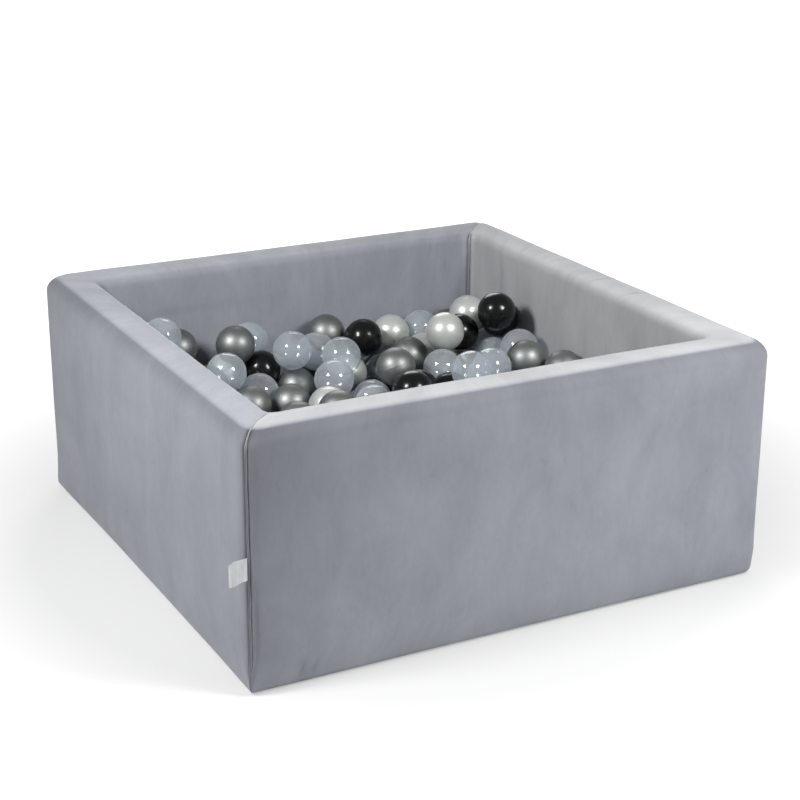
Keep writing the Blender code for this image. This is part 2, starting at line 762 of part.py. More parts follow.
def ball_bed(listed, paint):
    """One block for the lower balls, with a union of each layer of balls that stand out of it.

    Each body goes a little deeper into the block than the one before it, so that no two bottoms lie in one plane.
    """
    mesh = slab("ball_bed", INNER_HALF - CLEARANCE, FLOOR_TOP + CLEARANCE, FILL_LINE)
    bed = place("ball_bed", mesh, paint)
    foot = FILL_LINE - BALL_RADIUS / 2
    bodies = bed_bodies(listed)
    stems = bmesh.new()
    for centre, radius, form in bodies:
        if form == "ball":
            foot -= CLEARANCE
            dome_into(stems, centre, radius * STEM_SHARE, foot, DOME_SIDES, 1)
    shapes = [finished("bed_stems", stems)]
    for layer in apart(bodies):
        bm = bmesh.new()
        for centre, radius, form in layer:
            foot -= CLEARANCE
            if form == "ball":
                half_ball_into(bm, centre)
            elif form == "cup":
                dome_into(bm, centre, radius, foot, CUP_SIDES, 1)
            else:
                dome_into(bm, centre, radius, foot, DOME_SIDES, DOME_RINGS)
        shapes.append(finished("bed_layer", bm))
    for shape in shapes:
        tool = place(shape.name, shape, paint)
        tool.hide_render = True
        tool.display_type = "WIRE"
        join = bed.modifiers.new(shape.name, "BOOLEAN")
        join.operation = "UNION"
        join.object = tool
    return bed


def main():
    clear_scene()
    velvet = material("velvet", (0.43, 0.445, 0.48), 0.85)
    foam = material("foam", (0.80, 0.79, 0.72), 0.95)
    lining = material("lining", (0.35, 0.36, 0.38), 0.90)
    satin = material("satin", (0.90, 0.90, 0.90), 0.45)
    tape = material("zip_tape", (0.42, 0.43, 0.46), 0.80)
    teeth = material("zip_teeth", (0.60, 0.60, 0.62), 0.40)
    metal = material("zip_metal", (0.62, 0.62, 0.64), 0.30, 1.0)
    kinds = {
        "pearl": material("ball_pearl", (0.62, 0.64, 0.61), 0.30),
        "silver": material("ball_silver", (0.20, 0.22, 0.22), 0.35, 0.5),
        "black": material("ball_black", (0.010, 0.012, 0.012), 0.15),
        "clear": material("ball_clear", (0.45, 0.48, 0.52), 0.10),
    }
    mixed = material("lower_balls", (0.25, 0.27, 0.28), 0.35)

    panel_half = OUTER_FACE - FOOT_ROUND + PANEL_LAP
    place("base_panel", slab("base_panel", panel_half, 0.0, PANEL_THICK), lining)
    floor_half = INNER_FACE - CLEARANCE
    place("foam_floor", slab("foam_floor", floor_half, FOOT_Z, FLOOR_Z), foam)
    floor_low = FLOOR_Z + CLEARANCE
    place("floor_cover", slab("floor_cover", floor_half, floor_low, FLOOR_TOP), velvet)
    for side, name in enumerate(("front", "right", "back", "left")):
        place("foam_wall_" + name, foam_wall("foam_wall_" + name, side), foam)
    place("cover_front_right", cover("cover_front_right", (0, 1)), velvet)
    place("cover_back_left", cover("cover_back_left", (2, 3)), velvet)
    place("welt_near_left", welt("welt_near_left", -1), velvet)
    place("welt_far_right", welt("welt_far_right", 1), velvet)
    tag = place("satin_tag", tag_mesh(), satin)
    tag.location = seam_axis()

    zip_pieces(tape, teeth, metal)
    slider(metal)
    pull(metal)

    listed = listed_places()
    balls(listed, kinds)
    ball_bed(listed, mixed)


main()
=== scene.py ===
import json
import random
from math import acos, copysign, cos, exp, hypot, pi, radians, sin, sqrt, tau

import bmesh
import bpy
from mathutils import Matrix, Vector, noise

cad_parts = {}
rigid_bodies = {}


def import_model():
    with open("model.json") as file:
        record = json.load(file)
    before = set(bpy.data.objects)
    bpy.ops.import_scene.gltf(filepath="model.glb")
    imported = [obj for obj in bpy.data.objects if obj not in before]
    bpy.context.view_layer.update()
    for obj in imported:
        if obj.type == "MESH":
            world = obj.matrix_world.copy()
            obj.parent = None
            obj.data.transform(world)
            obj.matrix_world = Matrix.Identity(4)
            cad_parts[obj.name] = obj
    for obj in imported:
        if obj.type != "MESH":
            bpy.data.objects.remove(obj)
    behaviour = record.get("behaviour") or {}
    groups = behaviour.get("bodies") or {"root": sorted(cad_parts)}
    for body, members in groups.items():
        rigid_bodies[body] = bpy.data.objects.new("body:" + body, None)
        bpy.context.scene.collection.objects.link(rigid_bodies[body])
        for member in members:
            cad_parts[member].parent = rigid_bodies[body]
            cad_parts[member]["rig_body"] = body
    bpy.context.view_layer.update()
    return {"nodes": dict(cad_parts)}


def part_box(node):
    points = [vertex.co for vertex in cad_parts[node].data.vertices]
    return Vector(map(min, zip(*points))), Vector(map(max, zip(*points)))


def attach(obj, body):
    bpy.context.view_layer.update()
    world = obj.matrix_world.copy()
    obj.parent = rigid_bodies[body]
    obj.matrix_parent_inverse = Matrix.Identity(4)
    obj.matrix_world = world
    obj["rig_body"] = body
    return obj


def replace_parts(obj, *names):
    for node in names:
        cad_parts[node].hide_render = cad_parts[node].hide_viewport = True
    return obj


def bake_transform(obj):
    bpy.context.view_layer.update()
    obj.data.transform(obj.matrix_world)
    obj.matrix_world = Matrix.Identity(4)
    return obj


# Square velvet ball pit. X runs along the front wall to the right, Y to the back, Z up, in metres.

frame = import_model()
nodes = frame["nodes"]
scene = bpy.context.scene
print("frame loaded:", len(nodes), "nodes")


# The first piece becomes the active one
def onlySelect(*pieces):
    bpy.ops.object.select_all(action="DESELECT")
    for piece in pieces:
        piece.select_set(True)
    bpy.context.view_layer.objects.active = pieces[0]


def smoothShade(piece, degrees):
    onlySelect(piece)
    bpy.ops.object.shade_smooth_by_angle(angle=radians(degrees))


def giveMaterial(piece, material):
    piece.data.materials.clear()
    piece.data.materials.append(material)


# Names what the last operator made
def madePiece(name):
    piece = bpy.context.object
    piece.name = piece.data.name = name
    return piece


def newPiece(name, mesh, material):
    piece = bpy.data.objects.new(name, mesh)
    scene.collection.objects.link(piece)
    giveMaterial(piece, material)
    return piece


# A copy of the pattern with its own mesh, with its place in the mesh
def copyOf(pattern, name, material, matrix):
    mesh = pattern.data.copy()
    mesh.transform(matrix)
    return newPiece(name, mesh, material)


def joinPieces(name, pieces):
    onlySelect(*pieces)
    bpy.ops.object.join()
    piece = madePiece(name)
    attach(piece, "pit")
    return piece


def gridPiece(name, material, columns, rows, size=1):
    bpy.ops.mesh.primitive_grid_add(x_subdivisions=columns, y_subdivisions=rows, size=size)
    piece = madePiece(name)
    giveMaterial(piece, material)
    return piece


def nameMap(mesh, name, mapPlace):
    layer = mesh.uv_layers[0]
    layer.name = name
    for loop in mesh.loops:
        layer.data[loop.index].uv = mapPlace(loop.vertex_index)


def thicken(piece, thickness, offset, degrees):
    cloth = piece.modifiers.new("cloth", "SOLIDIFY")
    cloth.thickness, cloth.offset = thickness, offset
    onlySelect(piece)
    bpy.ops.object.modifier_apply(modifier=cloth.name)
    smoothShade(piece, degrees)


# On the pit's body, in place of a solid
def standFor(piece, node):
    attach(piece, "pit")
    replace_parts(piece, node)


# Camera at the photograph's place

view = dict(
    place=(-1.28536, -2.49318, 1.23389), forward=(0.43820, 0.83341, -0.33674),
    right=(0.88556, -0.46451, 0.00275), lens=79.48,
)


def makeCamera():
    data = bpy.data.cameras.new("camera")
    camera = bpy.data.objects.new("camera", data)
    scene.collection.objects.link(camera)
    forward = Vector(view["forward"]).normalized()
    right = Vector(view["right"]).normalized()
    up = right.cross(forward).normalized()
    turn = Matrix((right, up, -forward)).transposed()
    camera.matrix_world = Matrix.Translation(view["place"]) @ turn.to_4x4()
    data.lens = view["lens"]
    data.sensor_width = 36
    data.clip_start, data.clip_end = 0.05, 60
    scene.camera = camera


makeCamera()
print("camera placed")


# Materials. What is fed to an input is a number, a colour, a vector or the output of another node


def feed(node, inputs):
    for key, value in inputs.items():
        socket = node.inputs[key]
        if isinstance(value, bpy.types.NodeSocket):
            socket.id_data.links.new(value, socket)
        else:
            socket.default_value = (*value, 1.0) if socket.type == "RGBA" else value


def addNode(tree, kind, inputs, **settings):
    node = tree.nodes.new("ShaderNode" + kind)
    for key, value in settings.items():
        setattr(node, key, value)
    feed(node, inputs)
    return node


def newMaterial(name):
    material = bpy.data.materials.new(name)
    material.use_nodes = True
    return material, material.node_tree


def dressed(material, inputs):
    feed(material.node_tree.nodes["Principled BSDF"], inputs)
    return material


def patternSpace(tree, scale=(1, 1, 1), mapName=None, turn=(0, 0, 0)):
    if mapName:
        source = addNode(tree, "UVMap", {}, uv_map=mapName).outputs["UV"]
    else:
        source = addNode(tree, "TexCoord", {}).outputs["Object"]
    inputs = {"Vector": source, "Scale": scale, "Rotation": turn}
    return addNode(tree, "Mapping", inputs).outputs["Vector"]


def noiseFrom(vector, scale, detail, roughness, distortion=0.0):
    inputs = {"Vector": vector, "Scale": scale, "Detail": detail, "Roughness": roughness}
    return addNode(vector.id_data, "TexNoise", {**inputs, "Distortion": distortion}).outputs["Fac"]


def bandsFrom(vector, scale, direction, distortion=0.0):
    inputs = {"Vector": vector, "Scale": scale, "Distortion": distortion}
    settings = {"wave_type": "BANDS", "bands_direction": direction}
    return addNode(vector.id_data, "TexWave", inputs, **settings).outputs["Fac"]


def stretchRange(value, low, high, newLow=0.0, newHigh=1.0):
    inputs = {"Value": value, "From Min": low, "From Max": high, "To Min": newLow, "To Max": newHigh}
    return addNode(value.id_data, "MapRange", inputs).outputs["Result"]


def calculate(operation, first, second):
    known = first if isinstance(first, bpy.types.NodeSocket) else second
    return addNode(known.id_data, "Math", {0: first, 1: second}, operation=operation).outputs[0]


def times(first, second):
    return calculate("MULTIPLY", first, second)


def plus(first, second):
    return calculate("ADD", first, second)


def weighed(first, firstShare, second, secondShare):
    return plus(times(first, firstShare), times(second, secondShare))


def tint(factor, first, second):
    return addNode(factor.id_data, "Mix", {0: factor, 6: first, 7: second}, data_type="RGBA").outputs[2]


def bumpFrom(height, distance, strength):
    inputs = {"Height": height, "Distance": distance, "Strength": strength}
    return addNode(height.id_data, "Bump", inputs).outputs["Normal"]


velvetLook = dict(
    shade=(0.306, 0.317, 0.353), deepShade=(0.256, 0.266, 0.300), cloudScale=(9, 6, 1),
    strokeScale=(24, 5, 1), markScale=(140, 60, 1), fibreScale=1500, mixShares=(0.60, 0.22, 0.18),
    fleckScale=(95, 34, 1), patchScale=(7, 5, 1), fleckShade=0.07, grainRange=(0.94, 1.06),
    lightTurn=(1.045, 1.025, 0.935),
)


# Pile that hands have brushed about: soft clouds, upright strokes and small marks, over fine fibres
def velvetMaterial():
    material, tree = newMaterial("velvet")

    def layer(key, detail, roughness, distortion, turn=0.0):
        space = patternSpace(tree, velvetLook[key], "nap", (0, 0, turn))
        return noiseFrom(space, 1.0, detail, roughness, distortion)

    cloudShare, strokeShare, markShare = velvetLook["mixShares"]
    clouds, strokes = layer("cloudScale", 4, 0.55, 0.8), layer("strokeScale", 3, 0.55, 1.2, 0.07)
    marks = times(layer("markScale", 3, 0.6, 0.6), markShare)
    brushed = plus(weighed(clouds, cloudShare, strokes, strokeShare), marks)
    nap = stretchRange(brushed, 0.38, 0.62)
    fibres = noiseFrom(patternSpace(tree, mapName="nap"), velvetLook["fibreScale"], 2, 0.7)
    flecks = stretchRange(layer("fleckScale", 2, 0.5, 0.5, 0.05), 0.60, 0.70, 0.0, velvetLook["fleckShade"])
    patches = stretchRange(layer("patchScale", 1, 0.5, 0.0), 0.45, 0.62, 0.25, 1.0)
    worn = times(flecks, patches)
    grain = calculate("SUBTRACT", stretchRange(fibres, 0.3, 0.7, *velvetLook["grainRange"]), worn)
    # The point tone scales the colour: the nap's own tone with painted light on the rims and painted shade
    # in the groove, creases, fold and on the rounding
    toneAndPaintedLight = addNode(tree, "Attribute", {}, attribute_name="napTone").outputs["Fac"]
    colour = tint(nap, velvetLook["deepShade"], velvetLook["shade"])
    dimmed = {0: colour, "Scale": times(toneAndPaintedLight, grain)}
    shaded = addNode(tree, "VectorMath", dimmed, operation="SCALE").outputs[0]
    # Painted light: where the tone is raised on the rims, the colour is turned warmer and more neutral
    light = tint(stretchRange(toneAndPaintedLight, 1.05, 1.2), (1, 1, 1), velvetLook["lightTurn"])
    return dressed(material, {
        "Base Color": addNode(tree, "VectorMath", {0: shaded, 1: light}, operation="MULTIPLY").outputs[0],
        "Roughness": stretchRange(nap, 0.0, 1.0, 0.92, 0.80),
        "Specular IOR Level": 0.12,
        "Sheen Weight": 0.30,
        "Sheen Roughness": 0.32,
        "Sheen Tint": (0.97, 0.98, 1.0),
        "Normal": bumpFrom(weighed(fibres, 0.35, nap, 0.2), 0.0006, 0.5),
    })


# Cover: a section of soft foam wall, from the foot outside, over the rim, to the foot inside.
# What has four values goes by corner or wall, from the near left corner and the front on

pit = dict(
    width=0.900, height=0.3985, wall=0.079, outerCorner=0.026, innerCorner=0.022, rimOuterRound=0.027,
    rimInnerRound=0.0195, footRound=0.009, cornerTucks=(0.0045, 0.0045, 0.0030, 0.0),
    wallTucks=(0.0048, 0.0040, 0.0010, 0.0045), footTuckTo=0.050, footCornerShares=(0.25, 0.80, 0.60, 0.62),
    rimCrown=0.0012, frontCrown=0.0016, outsideStand=0.0010, outsideCrown=0.0025, insideCrown=0.003,
    foot=0.0016, floorTop=0.0341, zipTop=0.0534, zipFace=0.4460, zipFade=0.014, zipHalf=(0.372, 0.400),
    clothThick=0.0016, rowStep=0.0068, stationStep=0.0066, nearStep=0.0033, nearReach=0.05, cornerStep=0.005,
    seamStep=0.0013, halfGap=0.00015,
)
outerFace = pit["width"] / 2 - pit["outsideStand"]
innerHalf = pit["width"] / 2 - pit["wall"]
midWall = innerHalf + pit["wall"] / 2
innerFace = innerHalf + pit["insideCrown"]
straight = pit["width"] - 2 * pit["outerCorner"]


def blendIn(value, start, end):
    share = min(max((value - start) / (end - start), 0.0), 1.0)
    return share * share * (3 - 2 * share)


def uneven(x, y, z):
    return noise.noise(Vector((x, y, z)))


def bell(distance, width):
    return exp(-(distance / width) ** 2)


# Corners seen from above, tighter towards the foot, where the base panel pulls them in
def cornerRadius(half, height, corner):
    across = (half - innerHalf) / pit["wall"]
    radius = pit["innerCorner"] + (pit["outerCorner"] - pit["innerCorner"]) * across
    if across < 0.5:
        return radius
    share = pit["footCornerShares"][corner % 4]
    return radius * (share + (1 - share) * blendIn(height, 0.0, 1.5 * pit["footTuckTo"]))


def swell(share):
    return sin(pi * min(max(share, 0.0), 1.0)) ** 0.7


# Each row: half width of its loop, height, crown at mid length, and way along the cloth
def sectionRows():
    shoulder = pit["height"] - pit["rimCrown"]
    outerTop = shoulder - pit["rimOuterRound"]
    innerTop = shoulder - pit["rimInnerRound"]
    outTop, inTop = outerFace - pit["rimOuterRound"], innerFace + pit["rimInnerRound"]
    rows = []

    def arc(centreOut, centreZ, radius, start, end):
        steps = max(4, int(abs(radians(end - start)) * radius / pit["rowStep"]) + 3)
        for i in range(steps + 1):
            turn = radians(start + (end - start) * i / steps)
            rows.append([centreOut + radius * cos(turn), centreZ + radius * sin(turn), 0.0])

    def face(half, low, high, crown, upward):
        steps = int((high - low) / pit["rowStep"])
        for i in range(1, steps):
            share = i / steps if upward else 1 - i / steps
            rows.append([half, low + (high - low) * share, crown * swell(share)])

    arc(outerFace - pit["footRound"], pit["foot"] + pit["footRound"], pit["footRound"], -90, 0)
    face(outerFace, pit["foot"] + pit["footRound"], pit["zipTop"], 0.0, True)
    rows.append([outerFace, pit["zipTop"], 0.0])
    face(outerFace, pit["zipTop"], outerTop, pit["outsideCrown"], True)
    arc(outTop, outerTop, pit["rimOuterRound"], 0, 90)
    for share in (0.25, 0.5, 0.75):
        rise = pit["rimCrown"] * sin(pi * share)
        rows.append([outTop + (inTop - outTop) * share, shoulder + rise, 0.0])
    arc(inTop, innerTop, pit["rimInnerRound"], 90, 180)
    face(innerFace, pit["floorTop"], innerTop, -pit["insideCrown"], False)
    rows.append([innerFace, pit["floorTop"], 0.0])
    way = 0.0
    for n, row in enumerate(rows):
        if n:
            way += hypot(row[0] - rows[n - 1][0], row[1] - rows[n - 1][1])
        row.append(way)
    return rows


section = sectionRows()


# Which way the section runs at a row: out and up
def runAt(r):
    before, after = section[max(r - 1, 0)], section[min(r + 1, len(section) - 1)]
    return Vector((after[0] - before[0], after[1] - before[1])).normalized()


# Shares of a wall's straight, close together near the seam: at the first wall's start and the other's end
def gradedShares(length, wall):
    near, spread = pit["nearStep"], pit["stationStep"] - pit["nearStep"]
    shares, place = [], 0.0
    while True:
        fromSeam = length - place if wall else place
        place += near + spread * min(1.0, fromSeam / pit["nearReach"])
        if place > length - near / 2:
            return shares
        shares.append(place / length)


# One half of the cover runs from seam to seam round two walls: (wall, turn or None, share or None, way)
def coverStations():
    arc = pit["outerCorner"] * pi / 4
    stations, way = [], 0.0
    for wall in (0, 1):
        steps = int(arc / (pit["cornerStep"] if wall else pit["seamStep"]))
        for i in range(wall, steps + 1):
            turn, share = (radians(135 - 45 * i / steps), None) if i < steps else (None, 0.0)
            stations.append((wall, turn, share, way + arc * i / steps))
        way += arc
        stations += [(wall, None, share, way + straight * share) for share in gradedShares(straight, wall)]
        way += straight
        steps = int(arc / (pit["seamStep"] if wall else pit["cornerStep"]))
        for i in range(steps + 1):
            stations.append((wall, radians(90 - 45 * i / steps), None, way + arc * i / steps))
        way += arc
    return stations, way


def onWall(wall, along, out):
    x, y = along, -out
    for _ in range(wall):
        x, y = -y, x
    return Vector((x, y, 0))


def quarterTurns(first):
    return Matrix.Rotation(radians(90 * first), 3, "Z")


# Where a station lies on a loop of this half width, and which way is out there
def loopPoint(station, row, first):
    wall, turn, share, _ = station
    half, height, crown = row[:3]
    starting, ending = (half - cornerRadius(half, height, first + wall + end) for end in (0, 1))
    if share is not None:
        along = (starting + ending) * share - starting
        return onWall(wall, along, half + crown * swell(share)), onWall(wall, 0, 1)
    side = -1 if turn > pi / 2 else 1
    reach = starting if side < 0 else ending
    radius = half - reach
    place = onWall(wall, side * reach + radius * cos(turn), reach + radius * sin(turn))
    return place, onWall(wall, cos(turn), sin(turn))


# Creases that the photograph shows: wall, share along it, way along the cloth at the middle, half length,
# half width, depth
creases = (
    (1, 0.330, 0.425, 0.030, 0.0030, 0.0010),
    (1, 0.460, 0.425, 0.034, 0.0032, 0.0012),
    (1, 0.782, 0.430, 0.026, 0.0030, 0.0010),
    (1, 0.860, 0.520, 0.070, 0.0040, 0.0009),
    (0, 0.085, 0.030, 0.016, 0.0045, 0.0014),
    (0, 0.105, 0.026, 0.012, 0.0040, 0.0011),
)
creaseForm = dict(sway=0.006, slant=0.1, foldShare=0.7, foldAtShare=1.9)
slackFold = dict(
    low=0.012, high=0.185, ridgeAt=0.0062, valleyAt=0.0105, width=0.0024, rise=0.0010, drop=0.0012,
)
groove = dict(width=0.0042, depth=0.0024, rimFrom=0.370, rimTo=0.386, rimShare=0.45)
cloth = dict(
    slowRise=0.0009, midRise=0.00045, rippleRise=0.00035, rippleReach=0.012, ripplePeriod=0.013,
    periodChange=0.004, innerEdge=0.028, heldBelow=0.32, heldIn=0.0002, crownFrom=0.370, crownTo=0.392,
)


# Full where the slack cloth below the tag folds, nothing above and below it
def slackAt(height):
    if not slackFold["low"] < height < slackFold["high"]:
        return 0.0
    return sin(pi * (height - slackFold["low"]) / (slackFold["high"] - slackFold["low"])) ** 0.6


# The seam lies deep on the sides and shallow over the rim
def grooveShare(height):
    return 1 - (1 - groove["rimShare"]) * blendIn(height, groove["rimFrom"], groove["rimTo"])


# How deep a point lies in a crease, and how high on the fold beside it
def creaseAt(wall, share, rowWay):
    dip, fold = 0.0, 0.0
    for creaseWall, creaseShare, middle, reach, width, depth in creases:
        if wall != creaseWall or abs(rowWay - middle) > 2 * reach:
            continue
        sway = creaseForm["sway"] * uneven(rowWay * 30, creaseShare * 40, 8)
        sway += creaseForm["slant"] * (rowWay - middle)
        beside = (share - creaseShare) * straight + sway
        fade = bell(rowWay - middle, reach)
        dip += fade * depth * bell(beside, width)
        aside = beside - creaseForm["foldAtShare"] * width
        fold += fade * depth * creaseForm["foldShare"] * bell(aside, width)
    return dip, fold


# Full where the back wall lies sunk behind the zip, nothing beside and above it
def zipSunk(station, height, firstHalf):
    wall, _, share, _ = station
    if share is None or firstHalf or wall:
        return 0.0
    above = blendIn(height, pit["zipTop"], pit["zipTop"] + pit["zipFade"])
    return (1 - above) * (1 - blendIn(abs(share - 0.5) * straight, *pit["zipHalf"]))


# How far the foot is drawn in under the wall, from corner to corner
def footTuckAt(station, row, first):
    wall, turn, share, _ = station
    n = first + wall
    if share is None:
        share = 0.0 if turn > pi / 2 else 1.0
    start, end, middle = pit["cornerTucks"][n % 4], pit["cornerTucks"][(n + 1) % 4], pit["wallTucks"][n % 4]
    tuck = start + (end - start) * share + 4 * share * (1 - share) * (middle - (start + end) / 2)
    return tuck * (1 - blendIn(row[1], 0.0, pit["footTuckTo"])) if row[0] > midWall else 0.0


# How far the velvet stands off the plain section, along its own normal
def clothOffset(station, row, along, total, firstHalf):
    wall, _, share, way = station
    rowWay, z = row[3], row[1]
    seamWay = min(way, total - way)
    inside = row[0] < innerHalf + cloth["innerEdge"]
    atStart = way < total / 2
    seed = 3.1 if firstHalf else 17.7
    slow = uneven(along * 4.5, rowWay * 5.5, seed)
    mid = uneven(along * 11, rowWay * 9, seed + 5)
    offset = cloth["slowRise"] * slow + cloth["midRise"] * mid
    change = uneven(rowWay * 8, seed, 1 if atStart else 2)
    period = cloth["ripplePeriod"] + cloth["periodChange"] * change
    ripple = sin(tau * rowWay / period + 2.5 * uneven(rowWay * 25, seed, 4))
    offset += cloth["rippleRise"] * ripple * exp(-seamWay / cloth["rippleReach"])
    offset -= grooveShare(z) * groove["depth"] * bell(seamWay, groove["width"])
    if firstHalf and atStart and not inside:
        fade = slackAt(z)
        offset += fade * slackFold["rise"] * bell(seamWay - slackFold["ridgeAt"], slackFold["width"])
        offset -= fade * slackFold["drop"] * bell(seamWay - slackFold["valleyAt"], slackFold["width"])
    if firstHalf and share is not None:
        dip, fold = creaseAt(wall, share, rowWay)
        offset += fold - dip
        if wall == 0:
            arch = sqrt(4 * share * (1 - share))
            offset += pit["frontCrown"] * arch * blendIn(z, cloth["crownFrom"], cloth["crownTo"])
    if inside and z < cloth["heldBelow"]:
        offset = min(offset, 0.0) - cloth["heldIn"]
    sunk = 0.0 if inside else zipSunk(station, z, firstHalf)
    return offset * (1 - sunk) - sunk * max(0.0, row[0] - pit["zipFace"])


# How light the pile looks, for front, right, back and left: outside, on the rim and inside; the nap's lean
# together with painted light, rims painted lighter where light from above falls
pileAndPaintedLight = dict(
    outside=(0.98, 1.03, 1.03, 0.83), rim=(1.28, 1.46, 1.10, 1.08), inside=(1.00, 1.28, 0.90, 1.00),
    # Painted shade: on the outer rounding, the front wall's top, creases, near the near left seam, the seam
    # groove and the slack fold
    topShade=0.12, topFrom=0.18, topTo=0.37, roundShade=0.34, creaseShade=0.20, creaseDepth=0.001,
    seamShade=0.20, seamReach=0.070, grooveShade=0.78, foldShade=0.10,
    turnStart=(cos(radians(31)), cos(radians(56))), turnEnd=(cos(radians(13)), cos(radians(26))),
)


# Per point: the nap's tone together with painted light and painted shade
def napTone(station, row, up, total, first):
    wall, turn, share, way = station
    own, beside, besideShare = first + wall, first + wall, 0.0
    seamWay = min(way, total - way)
    if turn is not None and seamWay > pit["outerCorner"]:
        beside = own - 1 if turn > pi / 2 else own + 1
        besideShare = abs(turn - pi / 2) / (pi / 2)
    side = "inside" if row[0] < midWall else "outside"
    turnStart, turnEnd = (pileAndPaintedLight[key][side == "inside"] for key in ("turnStart", "turnEnd"))
    onRim = blendIn(up, turnStart, turnEnd) if row[1] > pit["height"] / 2 else 0.0
    # Painted shade on the outer rounding, which gets more light from above
    shade = 1.0 - pileAndPaintedLight["roundShade"] * max(0.0, up) * (side == "outside")
    # Painted shade in the creases, by their depth
    creased = 0.0
    if first == 0 and share is not None:
        creased = creaseAt(wall, share, row[3])[0] / pileAndPaintedLight["creaseDepth"]
    if side == "outside" and first == 0:
        # Painted shade on the top of the front wall, where the lamp from above lights it more
        top = pileAndPaintedLight["topShade"] * blendIn(row[1], pileAndPaintedLight["topFrom"], pileAndPaintedLight["topTo"])
        # Painted shade on the front wall near the near left seam, where the corner shades it
        shade -= top + pileAndPaintedLight["seamShade"] * exp(-way / pileAndPaintedLight["seamReach"])
        # Painted shade in the valley of the slack fold below the tag
        folded = bell(way - slackFold["valleyAt"], 2 * slackFold["width"])
        shade -= pileAndPaintedLight["foldShade"] * slackAt(row[1]) * folded
    # Painted shade in the seam groove
    shade *= 1 - pileAndPaintedLight["grooveShade"] * bell(seamWay, groove["width"])

    # Per wall and side, with the rims painted lighter
    def tone(n):
        return pileAndPaintedLight[side][n % 4] * shade * (1 - onRim) + pileAndPaintedLight["rim"][n % 4] * onRim

    both = tone(own) * (1 - besideShare) + tone(beside) * besideShare
    return both * (1 - pileAndPaintedLight["creaseShade"] * min(1.0, creased))


def coverHalf(name, node, first):
    stations, total = coverStations()
    firstHalf = first == 0
    count = len(stations)
    piece = gridPiece(name, velvet, count - 1, len(section) - 1)
    mesh = piece.data
    toneAndPaintedLight = mesh.attributes.new("napTone", "FLOAT", "POINT")
    quarter = quarterTurns(first)
    gap = pit["halfGap"] / sqrt(0.5)
    for r, row in enumerate(section):
        run = runAt(r)
        for s, station in enumerate(stations):
            place, outward = loopPoint(station, row, first)
            if s == 0:
                place.x += gap
            if s == count - 1:
                place.y -= gap
            place -= outward * footTuckAt(station, row, first) * (1 - zipSunk(station, row[1], firstHalf))
            offset = clothOffset(station, row, station[3] + first, total, firstHalf)
            place += outward * run.y * offset
            place.z = max(row[1] - run.x * offset, pit["foot"])
            vertex = mesh.vertices[r * count + s]
            vertex.co = quarter @ place
            # Painted light and shade for this point, with the nap's tone
            toneAndPaintedLight.data[vertex.index].value = napTone(station, row, -run.x, total, first)
    nameMap(mesh, "nap", lambda i: (stations[i % count][3] + first, section[i // count][3]))
    mesh.update()
    outside = mesh.polygons[count * 20]
    if outside.normal.dot(outside.center * Vector((1, 1, 0))) < 0:
        mesh.flip_normals()
    thicken(piece, pit["clothThick"], -1, 60)
    standFor(piece, node)


velvet = velvetMaterial()
coverHalf("velvetFrontRight", "cover_front_right", 0)
coverHalf("velvetBackLeft", "cover_back_left", 2)
print("cover sewn")


# Seam edges: two turned lips in the groove where the halves meet, and a row of stitches beside them
seam = dict(
    halfWidth=0.0030, depth=0.0030,
    profileShares=(
        (-1.0, -0.80), (-0.77, -0.50), (-0.57, -0.26), (-0.30, -0.16), (-0.10, -0.26), (0.0, -0.40),
        (0.10, -0.24), (0.33, -0.13), (0.60, -0.24), (0.80, -0.50), (1.0, -0.80), (0.0, -1.0),
    ),
    # Tones of the lips: painted shade in the groove and darker still on the deep flanks, painted light over
    # the rim
    rimWidthShare=0.45, nearTones=(0.72, 0.84), farTones=(0.90, 0.90), rimTone=1.22, flankShare=0.12,
    flankDepth=-0.35, wander=0.0006, stitchFrom=0.02, stitchPitch=0.0030, stitchLength=0.0019,
    threadRadius=0.00022, stitchAcross=-0.0017, stitchSink=0.0006,
)


# -1 on the wall's inner face and 1 elsewhere
def sideOf(row):
    return -1 if row[0] < midWall and row[1] < pit["height"] - pit["rimInnerRound"] else 1


# Place of the seam on one row, and which ways are off the cloth and across the seam
def seamPoint(r, first):
    row, run = section[r], runAt(r)
    station = (0, radians(135), None, 0.0)
    place, outward = loopPoint(station, row, first)
    place -= outward * footTuckAt(station, row, first)
    place.z = row[1]
    normal = outward * run.y + Vector((0, 0, -run.x))
    across = Vector((sqrt(0.5), -sqrt(0.5), 0)) * sideOf(row)
    quarter = quarterTurns(first)
    return quarter @ place, quarter @ normal, quarter @ across


